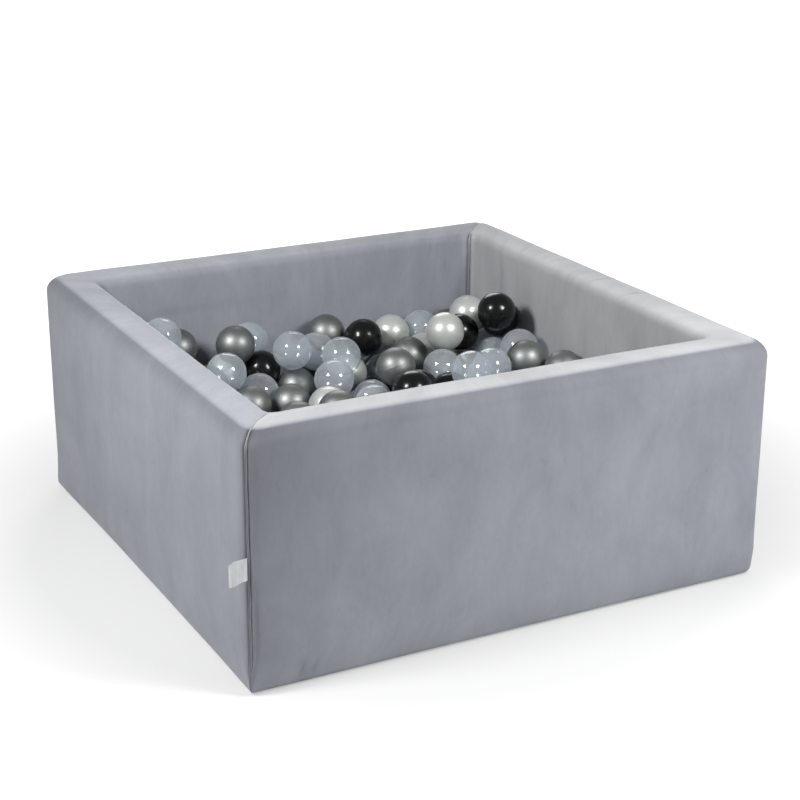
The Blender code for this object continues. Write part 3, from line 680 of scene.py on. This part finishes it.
def seamLips(name, node, first, paintedShades):
    bm = bmesh.new()
    rings, toneAndPaintedLight = [], []
    for r, row in enumerate(section):
        place, normal, across = seamPoint(r, first)
        onRim = blendIn(row[1], groove["rimFrom"], groove["rimTo"])
        width = seam["halfWidth"] * (1 - (1 - seam["rimWidthShare"]) * onRim) * sideOf(row)
        sway = seam["wander"] * uneven(row[3] * 30, first, 6)
        ring = []
        for side, depth in seam["profileShares"]:
            point = place + across * (side * width + sway)
            point += normal * depth * seam["depth"] * (0.5 + 0.5 * grooveShare(row[1]))
            point.z = max(point.z, pit["foot"] * 0.5)
            ring.append(bm.verts.new(point))
            # Painted shade in the groove and on the deep flanks, painted light over the rim
            tone = paintedShades[0] + (paintedShades[1] - paintedShades[0]) * (side + 1) / 2
            tone *= seam["flankShare"] if depth < seam["flankDepth"] else 1.0
            toneAndPaintedLight.append(tone * (1 - onRim) + seam["rimTone"] * onRim)
        rings.append(ring)
    count = len(seam["profileShares"])
    for lower, upper in zip(rings, rings[1:]):
        for i in range(count):
            bm.faces.new((lower[i], lower[(i + 1) % count], upper[(i + 1) % count], upper[i]))
    bm.faces.new(list(reversed(rings[0])))
    bm.faces.new(rings[-1])
    bmesh.ops.recalc_face_normals(bm, faces=bm.faces)
    mesh = bpy.data.meshes.new(name)
    bm.to_mesh(mesh)
    bm.free()
    mesh.uv_layers.new()
    nameMap(mesh, "nap", lambda i: (i % count * 0.001 + first, section[i // count][3]))
    mesh.attributes.new("napTone", "FLOAT", "POINT").data.foreach_set("value", toneAndPaintedLight)
    piece = newPiece(name, mesh, velvet)
    smoothShade(piece, 60)
    standFor(piece, node)


def threadMaterial():
    material, tree = newMaterial("thread")
    twist = bandsFrom(patternSpace(tree), 900, "DIAGONAL")
    return dressed(material, {
        "Base Color": tint(twist, (0.10, 0.105, 0.115), (0.20, 0.21, 0.23)),
        "Roughness": 0.62,
        "Sheen Weight": 0.25,
        "Normal": bumpFrom(twist, 0.0001, 0.5),
    })


# One short run of thread with round ends, along Z
def threadShape(name, radius, length):
    bpy.ops.mesh.primitive_uv_sphere_add(segments=6, ring_count=4, radius=radius)
    shape = madePiece(name)
    bpy.ops.object.mode_set(mode="EDIT")
    for side in (1, -1):
        bpy.ops.mesh.select_all(action="DESELECT")
        bm = bmesh.from_edit_mesh(shape.data)
        for vert in bm.verts:
            vert.select_set(vert.co.z * side > radius * 0.2)
        bm.select_flush(True)
        bmesh.update_edit_mesh(shape.data)
        bpy.ops.transform.translate(value=(0, 0, side * (length / 2 - radius)))
    bpy.ops.object.mode_set(mode="OBJECT")
    smoothShade(shape, 70)
    return shape


# Turns Z to a direction, with the pattern's X kept as near to the side as it goes
def alongWay(place, direction, side):
    up = direction.normalized()
    out = up.cross(side).normalized()
    return Matrix.Translation(place) @ Matrix((out.cross(up), out, up)).transposed().to_4x4()


def seamStitches(name, first, pattern):
    made, wanted = [], seam["stitchFrom"]
    for r, (row, nextRow) in enumerate(zip(section, section[1:])):
        here, normal, across = seamPoint(r, first)
        there = seamPoint(r + 1, first)[0]
        while row[3] <= wanted < nextRow[3]:
            share = (wanted - row[3]) / (nextRow[3] - row[3])
            wanted += seam["stitchPitch"]
            if row[1] > groove["rimFrom"] or row[0] < midWall:
                continue
            place = here.lerp(there, share) + across * seam["stitchAcross"] - normal * seam["stitchSink"]
            made.append(copyOf(pattern, pattern.name, thread, alongWay(place, there - here, normal)))
    joinPieces(name, made)


thread = threadMaterial()
stitchShape = threadShape("stitchShape", seam["threadRadius"], seam["stitchLength"])
seamLips("seamNearLeft", "welt_near_left", 0, seam["nearTones"])
seamStitches("seamNearLeftStitches", 0, stitchShape)
seamLips("seamFarRight", "welt_far_right", 2, seam["farTones"])
seamStitches("seamFarRightStitches", 2, stitchShape)
bpy.data.objects.remove(stitchShape)
print("seams closed")


# Satin tag: one ribbon folded in half, its two ends held in the near left seam

tag = dict(
    seamAt=-0.4373, bendAt=(-0.4437, -0.4399), endAt=-0.4692, wrapFrom=(-0.4393, -0.4384),
    wrapTo=(-0.4655, -0.4384), middle=0.1950, seamHeight=0.0335, endHeight=0.0360, droop=0.0030,
    gap=0.00045, thick=0.00022, curl=0.0012, bow=0.0022, foldFrom=0.94, upperCut=0.0042, lowerCut=0.0022,
    cornerTurn=0.0016, ripple=0.0006, mapLength=0.0285, columns=34, rows=18,
)


def satinMaterial():
    material, tree = newMaterial("satin")
    weave = bandsFrom(patternSpace(tree, mapName="ribbon"), 900, "Y", 0.6)
    cloud = noiseFrom(patternSpace(tree, (190, 26, 1), "ribbon"), 1.0, 2, 0.5, 0.4)
    return dressed(material, {
        "Base Color": tint(stretchRange(cloud, 0.3, 0.7), (0.47, 0.50, 0.52), (0.70, 0.715, 0.72)),
        "Roughness": stretchRange(cloud, 0.3, 0.7, 0.42, 0.30),
        "Anisotropic": 0.6,
        "Sheen Weight": 0.15,
        "Normal": bumpFrom(weave, 0.00008, 0.35),
    })


# Half of the ribbon's way out from the seam: 0 in the seam, 1 at the fold
def tagLine(share):
    start = Vector((tag["seamAt"], tag["seamAt"], 0))
    bend = Vector((*tag["bendAt"], 0))
    inSeam = (bend - start).length
    free = bend.x - tag["endAt"]
    way = share * (inSeam + free)
    if way < inSeam:
        return start.lerp(bend, way / inSeam), (bend - start).normalized()
    out = (way - inSeam) / free
    aside = -tag["curl"] * sin(pi * out) + tag["bow"] * out * out
    slope = -tag["curl"] * pi * cos(pi * out) + 2 * tag["bow"] * out
    return bend + Vector((inSeam - way, aside, 0)), Vector((-free, slope, 0)).normalized()


def satinTag():
    columns, rows = tag["columns"], tag["rows"]
    count = 2 * columns + 1
    piece = gridPiece("satinTag", satinMaterial(), 2 * columns, rows)
    for vertex in piece.data.vertices:
        row, column = divmod(vertex.index, count)
        share = 1 - abs(column / columns - 1)
        side = -1 if column < columns else (1 if column > columns else 0)
        place, direction = tagLine(share)
        folded = max(0.0, share - tag["foldFrom"]) / (1 - tag["foldFrom"])
        apart = tag["gap"] * sqrt(max(0.0, 1 - folded ** 2)) * (0.3 + 0.7 * min(1, share * 4))
        up = row / rows - 0.5
        out = blendIn(share, 0.15, 1.0)
        height = tag["seamHeight"] + (tag["endHeight"] - tag["seamHeight"]) * out
        cut = tag["upperCut"] * max(0.0, up - 0.30) / 0.20 * blendIn(share, 0.78, 1.0)
        cut += tag["lowerCut"] * max(0.0, -0.34 - up) / 0.16 * blendIn(share, 0.45, 0.85)
        turned = tag["cornerTurn"] * out * bell(up + 0.5, 0.16) * (1 if side > 0 else 0.8)
        turned += tag["ripple"] * out * sin(5 * up + 1)
        place += direction.cross(Vector((0, 0, 1))) * (side * apart + turned)
        place.z = tag["middle"] + up * height - tag["droop"] * out * out - cut
        vertex.co = place
    mapPitch = tag["mapLength"] / columns, tag["endHeight"] / rows
    nameMap(piece.data, "ribbon", lambda i: (i % count * mapPitch[0], i // count * mapPitch[1]))
    piece.data.update()
    thicken(piece, tag["thick"], 0, 50)
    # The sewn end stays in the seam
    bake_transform(piece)
    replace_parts(piece, "satin_tag")


satinTag()
print("tag sewn in")


# Zip along the foot of the back wall: two woven tapes, coil teeth, metal stops, slider and pull

zipLook = dict(
    toothPitch=0.0019, toothRadius=0.00048, toothReachShare=0.60, toothLean=0.14, toothStep=0.0002,
    tapeColumns=360, tapeRows=10, tapeWave=0.00015, tapeThickShare=0.62, tapeDeepShare=0.35,
    beadWidthShare=0.07, tapeStitchPitch=0.0034, tapeStitchLength=0.0023, tapeStitchRadius=0.0002,
    tapeStitchFrom=0.003, tapeStitchSink=0.00012, softened=0.00025,
)


def tapeMaterial():
    material, tree = newMaterial("zipTape")
    ribs = bandsFrom(patternSpace(tree, mapName="tape"), 620, "X")
    cross = bandsFrom(patternSpace(tree, mapName="tape", turn=(0, 0, 0.5)), 420, "Y")
    weave = calculate("MAXIMUM", ribs, cross)
    cloud = noiseFrom(patternSpace(tree, (30, 30, 1), "tape"), 1.0, 3, 0.6)
    return dressed(material, {
        "Base Color": tint(weighed(weave, 0.55, cloud, 0.45), (0.115, 0.12, 0.135), (0.25, 0.26, 0.29)),
        "Roughness": 0.85,
        "Sheen Weight": 0.2,
        "Normal": bumpFrom(weave, 0.00012, 0.6),
    })


def zipTape(name, node, beadAt):
    low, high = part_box(node)
    length, thick, height = high.x - low.x, high.y - low.y, high.z - low.z
    columns, rows = zipLook["tapeColumns"], zipLook["tapeRows"]
    piece = gridPiece(name, tapeCloth, columns, rows)
    mesh = piece.data
    shares = [(v.index % (columns + 1) / columns, v.index // (columns + 1) / rows) for v in mesh.vertices]
    for vertex, (along, up) in zip(mesh.vertices, shares):
        x = high.x - along * length
        wave = zipLook["tapeWave"] * uneven(x * 22, up * 2, len(name))
        deep = zipLook["tapeDeepShare"] * thick * (1 - bell(up - beadAt, zipLook["beadWidthShare"]))
        vertex.co = (x, high.y - deep + max(-0.3 * thick, wave), low.z + up * height)
    nameMap(mesh, "tape", lambda i: (shares[i][0] * length, shares[i][1] * height))
    mesh.update()
    if mesh.polygons[0].normal.y < 0:
        mesh.flip_normals()
    thicken(piece, thick * zipLook["tapeThickShare"], -1, 50)
    standFor(piece, node)


def coilMaterial():
    material, tree = newMaterial("zipCoil")
    cloud = noiseFrom(patternSpace(tree), 260, 3, 0.6)
    return dressed(material, {
        "Base Color": tint(stretchRange(cloud, 0.3, 0.7), (0.21, 0.215, 0.235), (0.33, 0.335, 0.36)),
        "Roughness": stretchRange(cloud, 0.3, 0.7, 0.30, 0.45),
        "Coat Weight": 0.3,
        "Coat Roughness": 0.2,
        "Normal": bumpFrom(cloud, 0.00005, 0.3),
    })


def wornMetal():
    material, tree = newMaterial("zipMetal")
    cloud = noiseFrom(patternSpace(tree), 180, 4, 0.6, 0.4)
    scratch = noiseFrom(patternSpace(tree, (900, 60, 300), None, (0.1, 0.2, 0.3)), 1.0, 3, 0.7)
    worn = stretchRange(addNode(tree, "NewGeometry", {}).outputs["Pointiness"], 0.50, 0.56, 0.0, 0.6)
    mixed = calculate("MAXIMUM", stretchRange(cloud, 0.35, 0.65, 0, 0.7), worn)
    return dressed(material, {
        "Base Color": tint(mixed, (0.40, 0.40, 0.42), (0.66, 0.66, 0.67)),
        "Roughness": stretchRange(scratch, 0.3, 0.7, 0.208, 0.39),
        "Metallic": 1.0,
        "Normal": bumpFrom(scratch, 0.00004, 0.3),
    })


def zipTeeth():
    low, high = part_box("zip_tooth_chain")
    coil = coilMaterial()
    reach = (high.z - low.z) * zipLook["toothReachShare"]
    apart = (high.z - low.z - reach) / 2
    tooth = threadShape("toothShape", zipLook["toothRadius"], reach)
    made = []
    count = 2 * int((high.x - low.x) / zipLook["toothPitch"])
    for n in range(count):
        side = 1 if n % 2 else -1
        x = low.x + (n + 1) * (high.x - low.x) / (count + 1)
        y = high.y - zipLook["toothRadius"] - (zipLook["toothStep"] if n % 2 else 0)
        place = Vector((x, y, (low.z + high.z) / 2 + side * apart))
        matrix = alongWay(place, Vector((side * zipLook["toothLean"], 0, 1)), Vector((1, 0, 0)))
        made.append(copyOf(tooth, tooth.name, coil, matrix))
    bpy.data.objects.remove(tooth)
    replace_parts(joinPieces("zipTeeth", made), "zip_tooth_chain")


# Rows of stitches that hold the tapes to the velvet
def tapeStitches(name, node, riseShare, pattern):
    low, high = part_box(node)
    y, z = high.y - zipLook["tapeStitchSink"], low.z + riseShare * (high.z - low.z)
    made = []
    for n in range(int((high.x - low.x - 0.004) / zipLook["tapeStitchPitch"])):
        place = Vector((low.x + zipLook["tapeStitchFrom"] + n * zipLook["tapeStitchPitch"], y, z))
        matrix = alongWay(place, Vector((1, 0, 0.04)), Vector((0, 1, 0)))
        made.append(copyOf(pattern, pattern.name, thread, matrix))
    joinPieces(name, made)


tapeCloth = tapeMaterial()
tapeStitch = threadShape("tapeStitch", zipLook["tapeStitchRadius"], zipLook["tapeStitchLength"])
zipTape("zipTapeLower", "zip_tape_lower", 0.93)
tapeStitches("zipTapeLowerStitches", "zip_tape_lower", 0.22, tapeStitch)
zipTape("zipTapeUpper", "zip_tape_upper", 0.07)
tapeStitches("zipTapeUpperStitches", "zip_tape_upper", 0.78, tapeStitch)
bpy.data.objects.remove(tapeStitch)
zipTeeth()
zipMetal = wornMetal()
for node in ("zip_stop_left", "zip_stop_right", "zip_slider", "zip_pull"):
    piece = bpy.data.objects[node]
    for slot in piece.material_slots:
        slot.material = zipMetal
    piece.modifiers.new("weld", "WELD").merge_threshold = 0.00001
    soften = piece.modifiers.new("soften", "BEVEL")
    soften.width = zipLook["softened"]
    soften.segments = 2
    soften.limit_method = "ANGLE"
print("zip made")


# Sheets that lie flat: the velvet over the floor foam, and the woven base panel under everything

sheets = dict(corner=0.022, step=0.012, floorWave=0.0006, baseWave=0.0002, tone=0.95)


def liningMaterial():
    material, tree = newMaterial("baseCloth")
    plain = patternSpace(tree)
    weave = times(bandsFrom(plain, 260, "X", 0.4), bandsFrom(plain, 260, "Y", 0.4))
    cloud = noiseFrom(plain, 14, 4, 0.6)
    return dressed(material, {
        "Base Color": tint(weighed(weave, 0.5, cloud, 0.5), (0.13, 0.135, 0.15), (0.26, 0.27, 0.29)),
        "Roughness": 0.88,
        "Normal": bumpFrom(weave, 0.0002, 0.6),
    })


def laidSheet(name, node, material, wave):
    low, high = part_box(node)
    half, thick = (high.x - low.x) / 2, high.z - low.z
    count = int(2 * half / sheets["step"])
    piece = gridPiece(name, material, count, count, 2 * half)
    mesh = piece.data
    edge = half - sheets["corner"]
    nameMap(mesh, "nap", lambda i: mesh.vertices[i].co.xy)
    toneAndPaintedLight = mesh.attributes.new("napTone", "FLOAT", "POINT")
    for vertex in mesh.vertices:
        x, y = vertex.co.xy
        beyond = Vector((max(abs(x) - edge, 0), max(abs(y) - edge, 0)))
        if beyond.x > 0 and beyond.y > 0:
            beyond = beyond.normalized() * max(beyond)
            x, y = copysign(edge + beyond.x, x), copysign(edge + beyond.y, y)
        dip = wave * (0.5 + 0.5 * uneven(x * 9, y * 9, 4))
        vertex.co = (x, y, high.z - dip)
        toneAndPaintedLight.data[vertex.index].value = sheets["tone"]
    thicken(piece, thick - wave, -1, 50)
    standFor(piece, node)


laidSheet("floorVelvet", "floor_cover", velvet, sheets["floorWave"])
lining = liningMaterial()
laidSheet("basePanel", "base_panel", lining, sheets["baseWave"])


# Open foam inside walls and floor
def foamMaterial():
    material, tree = newMaterial("openFoam")
    plain = patternSpace(tree)
    cells = addNode(tree, "TexVoronoi", {"Vector": plain, "Scale": 700}).outputs["Distance"]
    both = weighed(cells, 0.6, noiseFrom(plain, 12, 3, 0.5), 0.4)
    return dressed(material, {
        "Base Color": tint(both, (0.44, 0.43, 0.38), (0.72, 0.70, 0.62)),
        "Roughness": 0.95,
        "Normal": bumpFrom(cells, 0.0006, 0.8),
    })


foam = foamMaterial()
for node in ("foam_floor", "foam_wall_front", "foam_wall_right", "foam_wall_back", "foam_wall_left"):
    for slot in bpy.data.objects[node].material_slots:
        slot.material = foam
print("sheets laid")


# Balls


# Thin clear shell: mostly see-through, milkier and more mirror-like towards its edge
def clearMaterial():
    material, tree = newMaterial("ballClear")
    facing = addNode(tree, "LayerWeight", {"Blend": 0.5}).outputs["Facing"]
    mirror = plus(times(calculate("POWER", facing, 5.0), 0.85), 0.045)
    edge = times(calculate("POWER", facing, 3.0), 0.42)
    cloud = noiseFrom(patternSpace(tree), 22, 1, 0.5, 0.3)
    milk = plus(edge, stretchRange(cloud, 0.35, 0.65, 0.24, 0.31))
    dressed(material, {"Base Color": (0.565, 0.60, 0.63), "Roughness": 0.35, "Specular IOR Level": 0.0})
    solid = tree.nodes["Principled BSDF"].outputs[0]
    see = addNode(tree, "BsdfTransparent", {"Color": (0.89, 0.925, 0.955)}).outputs[0]
    body = addNode(tree, "MixShader", {"Fac": milk, 1: see, 2: solid}).outputs[0]
    gloss = addNode(tree, "BsdfGlossy", {"Roughness": 0.07, "Color": (1, 1, 1)}).outputs[0]
    both = addNode(tree, "MixShader", {"Fac": mirror, 1: body, 2: gloss}).outputs[0]
    feed(tree.nodes["Material Output"], {"Surface": both})
    return material


def solidBallMaterial(name, light, dark, roughness, metallic, coat, coatRoughness, grain):
    material, tree = newMaterial(name)
    plain = patternSpace(tree)
    cloud = noiseFrom(plain, 60, 4, 0.6, 0.8)
    both = weighed(cloud, 0.7, noiseFrom(plain, grain, 2, 0.6), 0.3)
    scuff = noiseFrom(patternSpace(tree, (1, 1, 3)), 140, 3, 0.7, 1.0)
    return dressed(material, {
        "Base Color": tint(stretchRange(both, 0.35, 0.65), dark, light),
        "Roughness": stretchRange(scuff, 0.3, 0.75, roughness * 0.92, roughness * 1.12),
        "Metallic": metallic,
        "Specular IOR Level": 0.22 if metallic == 0 else 0.5,
        "Coat Weight": coat,
        "Coat Roughness": coatRoughness,
        "Normal": bumpFrom(cloud, 0.0002, 0.25),
    })


ballLook = dict(
    radius=0.0350, segments=56, rings=28, plainSegments=20, plainRings=12, ridgeWidth=0.0007,
    ridgeRise=0.00008, nubRadius=0.0024, nubDepth=0.0004, width=0.9975, squeeze=0.006, seed=7,
)
ballSize = 2 * ballLook["radius"]
# Light and dark shade, roughness, metallic, coat, its roughness, and the grain's scale
ballPaints = {
    "pearl": solidBallMaterial(
        "ballPearl", (0.55, 0.575, 0.55), (0.51, 0.535, 0.51), 0.36, 0.38, 0.25, 0.22, 900),
    "silver": solidBallMaterial(
        "ballSilver", (0.262, 0.276, 0.270), (0.230, 0.243, 0.238), 0.50, 0.92, 0.12, 0.20, 1200),
    "black": solidBallMaterial(
        "ballBlack", (0.0062, 0.0072, 0.0070), (0.0046, 0.0054, 0.0053), 0.24, 0.0, 0.24, 0.11, 700),
    "clear": clearMaterial(),
}


# One blow-moulded ball: a fine ridge where the mould closed and a shallow dimple where it was cut off
def ballShape(name, segments, rings):
    radius = ballLook["radius"]
    bpy.ops.mesh.primitive_uv_sphere_add(segments=segments, ring_count=rings, radius=radius)
    ball = madePiece(name)
    bpy.ops.object.mode_set(mode="EDIT")
    bpy.ops.mesh.select_mode(type="EDGE")
    bm = bmesh.from_edit_mesh(ball.data)
    for edge in bm.edges:
        edge.select_set(all(abs(v.co.z) < 1e-5 for v in edge.verts))
    bmesh.update_edit_mesh(ball.data)
    bpy.ops.mesh.bevel(offset=ballLook["ridgeWidth"], segments=2, affect="EDGES")
    bm = bmesh.from_edit_mesh(ball.data)
    for vert in bm.verts:
        if abs(vert.co.z) < 1e-5:
            vert.co.xy *= (radius + ballLook["ridgeRise"]) / vert.co.xy.length
        vert.select_set(False)
    bm.select_flush(False)
    bpy.ops.mesh.select_mode(type="FACE")
    bm = bmesh.from_edit_mesh(ball.data)
    for face in bm.faces:
        face.select_set(any(v.co.z > radius * 0.9999 for v in face.verts))
    bmesh.update_edit_mesh(ball.data)
    bpy.ops.mesh.inset(thickness=ballLook["nubRadius"] / 3)
    bpy.ops.transform.translate(value=(0, 0, -ballLook["nubDepth"]))
    bpy.ops.object.mode_set(mode="OBJECT")
    smoothShade(ball, 50)
    return ball


fineBall = ballShape("fineBall", ballLook["segments"], ballLook["rings"])
plainBall = ballShape("plainBall", ballLook["plainSegments"], ballLook["plainRings"])
spin = random.Random(ballLook["seed"])


# A ball turned by chance
def ballAt(pattern, name, place, kind):
    lie = Matrix.Rotation(spin.uniform(0, tau), 4, "Z") @ Matrix.Rotation(acos(spin.uniform(-1, 1)), 4, "X")
    width = ballLook["width"]
    squeeze = Matrix.Diagonal((width, width, width - spin.uniform(0, ballLook["squeeze"]), 1))
    matrix = Matrix.Translation(place) @ lie @ Matrix.Rotation(spin.uniform(0, tau), 4, "Z") @ squeeze
    return copyOf(pattern, name, ballPaints[kind], matrix)


placed = []
for node in sorted(nodes):
    if not node.startswith("ball_") or node == "ball_bed":
        continue
    kind = node.split("_")[1]
    low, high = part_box(node)
    placed.append((low + high) / 2)
    ball = ballAt(fineBall, "loose" + node[4:].title().replace("_", ""), placed[-1], kind)
    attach(ball, nodes[node]["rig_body"])
    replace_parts(ball, node)
print("loose balls:", len(placed))


# Bed: the balls that carry the loose ones, the rest of the upper ones and the layers below

bed = dict(
    pitch=0.0703, reach=0.3357, fillLine=0.1501, lyingHeight=0.2099, gridPitch=0.096, gridShift=0.006,
    gridLevel=0.72, gridSlope=0.50, heapedTo=-0.5, heapedEvery=3, startShare=0.78, dropShare=0.165,
    stepShare=0.18, coverShare=1.2, underShare=0.3, seed=11,
)
# Kind, then place across and deep as shares of the reach, and level as a share of a ball above the fill
# line, or None for the one at the lying height
deepShares = (
    ("black", 0.24, 0.62, 0.15),
    ("black", -0.02, 0.86, 0.35),
    ("pearl", 0.19, 0.83, 0.50),
    ("silver", 0.80, 0.67, 0.60),
    ("pearl", 0.63, 0.78, None),
    ("clear", 0.90, 0.48, 0.95),
)
kindOrder = (
    "clear", "black", "black", "pearl", "silver", "clear", "silver", "clear", "silver", "clear", "pearl",
)


def restHeight(x, y, level, others):
    squares = ((c.z, bed["pitch"] ** 2 - (c.x - x) ** 2 - (c.y - y) ** 2) for c in others)
    return max([level] + [z + sqrt(square) for z, square in squares if square > 0])


def crowdedInPlan(x, y, centres):
    return any((c.x - x) ** 2 + (c.y - y) ** 2 < bed["pitch"] ** 2 for c in centres)


# A loose grid of balls where none are listed, higher to the front, and a few heaped on it there
def gridPlaces(listed):
    reach, pitch, shift = bed["reach"], bed["gridPitch"], bed["gridShift"]
    rowPitch = pitch * sqrt(3) / 2
    base, heaped = [], []
    for row in range(int(2 * reach / rowPitch) + 1):
        for column in range(int(2 * reach / pitch) + 2):
            turn = 2.1 * row + 3.7 * column
            x = max(-reach, -reach + pitch * (column + (row % 2) / 2) + shift * sin(turn))
            y = max(-reach, -reach + rowPitch * row + shift * cos(1.3 * turn))
            if x > reach or y > reach or crowdedInPlan(x, y, listed):
                continue
            level = bed["gridLevel"] - bed["gridSlope"] * y / reach + shift / ballLook["radius"] * cos(turn)
            base.append(Vector((x, y, restHeight(x, y, bed["fillLine"] + level * ballSize, base))))
    for n, centre in enumerate(base):
        x, y = centre.x + pitch / 2, centre.y + pitch / (2 * sqrt(3))
        beyond = abs(x) > reach or y > bed["heapedTo"] * reach
        if not (n % bed["heapedEvery"] or beyond or crowdedInPlan(x, y, listed + heaped)):
            heaped.append(Vector((x, y, restHeight(x, y, centre.z, base))))
    return base + heaped


# Balls packed into the room below the ones already there, from the top down to the floor
def lowerPlaces(fixed):
    step, reach = bed["stepShare"] * ballSize, bed["reach"]
    coverSquare = (bed["coverShare"] * ballSize) ** 2
    spots = range(int(2 * reach / step) + 1)
    order = random.Random(bed["seed"])
    found = []
    height = bed["fillLine"] + bed["startShare"] * ballSize
    while height > pit["floorTop"] + ballSize / 2:
        tries = [Vector((i * step - reach, j * step - reach, height)) for i in spots for j in spots]
        order.shuffle(tries)
        higher = [c for c in fixed if c.z > height + bed["underShare"] * ballSize]
        near = [c for c in fixed + found if abs(c.z - height) < bed["pitch"]]
        for place in tries:
            covered = any((c.x - place.x) ** 2 + (c.y - place.y) ** 2 < coverSquare for c in higher)
            if covered and all((place - c).length > bed["pitch"] for c in near):
                near.append(place)
                found.append(place)
        height -= bed["dropShare"] * ballSize
    return found


def mixedKind(n):
    return kindOrder[n % len(kindOrder)]


upper = []
for kind, across, deep, level in deepShares:
    height = bed["lyingHeight"] if level is None else bed["fillLine"] + level * ballSize
    upper.append((Vector((across * bed["reach"], deep * bed["reach"], height)), kind))
listed = placed + [c for c, _ in upper]
upper += [(centre, mixedKind(n)) for n, centre in enumerate(gridPlaces(listed))]
lower = [(centre, mixedKind(n + 3)) for n, centre in enumerate(lowerPlaces(placed + [c for c, _ in upper]))]
print("bed balls:", len(upper), "upper and", len(lower), "lower")
for kind in ballPaints:
    balls = [ballAt(fineBall, "bedBall", centre, kind) for centre, own in upper if own == kind]
    balls += [ballAt(plainBall, "bedBall", centre, kind) for centre, own in lower if own == kind]
    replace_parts(joinPieces("bed" + kind.title(), balls), "ball_bed")
for pattern in (fineBall, plainBall):
    bpy.data.objects.remove(pattern)
print("bed filled")


# Floor, world and lamps

studio = dict(
    worldHorizon=1.0, worldTop=0.6, worldStrength=0.28, aim=(0.0, 0.05, 0.22),
    lamps={
        "leftLamp": {"toward": (-0.738, -0.182, 0.649), "distance": 1.9, "size": 0.50, "power": 32},
        "frontLamp": {"toward": (0.315, -0.729, 0.608), "distance": 1.7, "size": 0.46, "power": 21},
        "backLamp": {"toward": (0.35, 0.83, 0.43), "distance": 3.2, "size": 1.8, "power": 30},
    },
    floorSize=40, floorDrop=0.0005, floorShade=0.80, seenShade=0.38, floorLift=0.42, liftFrom=0.60,
    liftTo=1.25,
)


def makeLamps():
    for name, own in studio["lamps"].items():
        data = bpy.data.lights.new(name, "AREA")
        data.shape = "DISK"
        data.size = own["size"]
        data.energy = own["power"]
        lamp = bpy.data.objects.new(name, data)
        scene.collection.objects.link(lamp)
        toward = Vector(own["toward"]).normalized()
        lamp.location = Vector(studio["aim"]) + toward * own["distance"]
        lamp.rotation_euler = toward.to_track_quat("Z", "Y").to_euler()


# Rays that see the backdrop: from the camera, and by way of gloss and clear plastic
def backdropRays(tree):
    paths = addNode(tree, "LightPath", {})
    seen = calculate("MAXIMUM", paths.outputs["Is Camera Ray"], paths.outputs["Is Glossy Ray"])
    return calculate("MAXIMUM", seen, paths.outputs["Is Transmission Ray"])


# Plain white to the camera, a dimmer sky to everything else
def makeWorld():
    world = bpy.data.worlds.new("studio")
    scene.world = world
    world.use_nodes = True
    tree = world.node_tree
    direction = addNode(tree, "TexCoord", {}).outputs["Generated"]
    height = addNode(tree, "SeparateXYZ", {0: direction}).outputs["Z"]
    fade = stretchRange(height, 0.02, 0.55, studio["worldHorizon"], studio["worldTop"])
    light = times(fade, studio["worldStrength"])
    camera = addNode(tree, "LightPath", {}).outputs["Is Camera Ray"]
    unseen = times(light, calculate("SUBTRACT", 1.0, camera))
    feed(tree.nodes["Background"], {"Strength": plus(unseen, camera), "Color": (1, 1, 1)})


# Seen rays meet a dark floor with a glow, so it stays near white; the others meet a light floor
def makeFloor():
    bpy.ops.mesh.primitive_plane_add(size=studio["floorSize"], location=(0, 0, -studio["floorDrop"]))
    floor = madePiece("studioFloor")
    material, tree = newMaterial("paleFloor")
    seen = backdropRays(tree)
    shades = [(studio[key],) * 3 for key in ("floorShade", "seenShade")]
    dressed(material, {"Base Color": tint(seen, *shades), "Roughness": 0.9, "Specular IOR Level": 0.1})
    place = addNode(tree, "TexCoord", {}).outputs["Object"]
    away = addNode(tree, "VectorMath", {0: place}, operation="LENGTH").outputs["Value"]
    glow = stretchRange(away, studio["liftFrom"], studio["liftTo"], studio["floorLift"], 1.0)
    inputs = {"Color": (1, 1, 1), "Strength": times(seen, glow)}
    lift = addNode(tree, "Emission", inputs).outputs[0]
    plain = tree.nodes["Principled BSDF"].outputs[0]
    both = addNode(tree, "AddShader", {0: plain, 1: lift}).outputs[0]
    feed(tree.nodes["Material Output"], {"Surface": both})
    giveMaterial(floor, material)


makeLamps()
makeWorld()
makeFloor()
scene.view_settings.view_transform = "Standard"
print("studio lit")
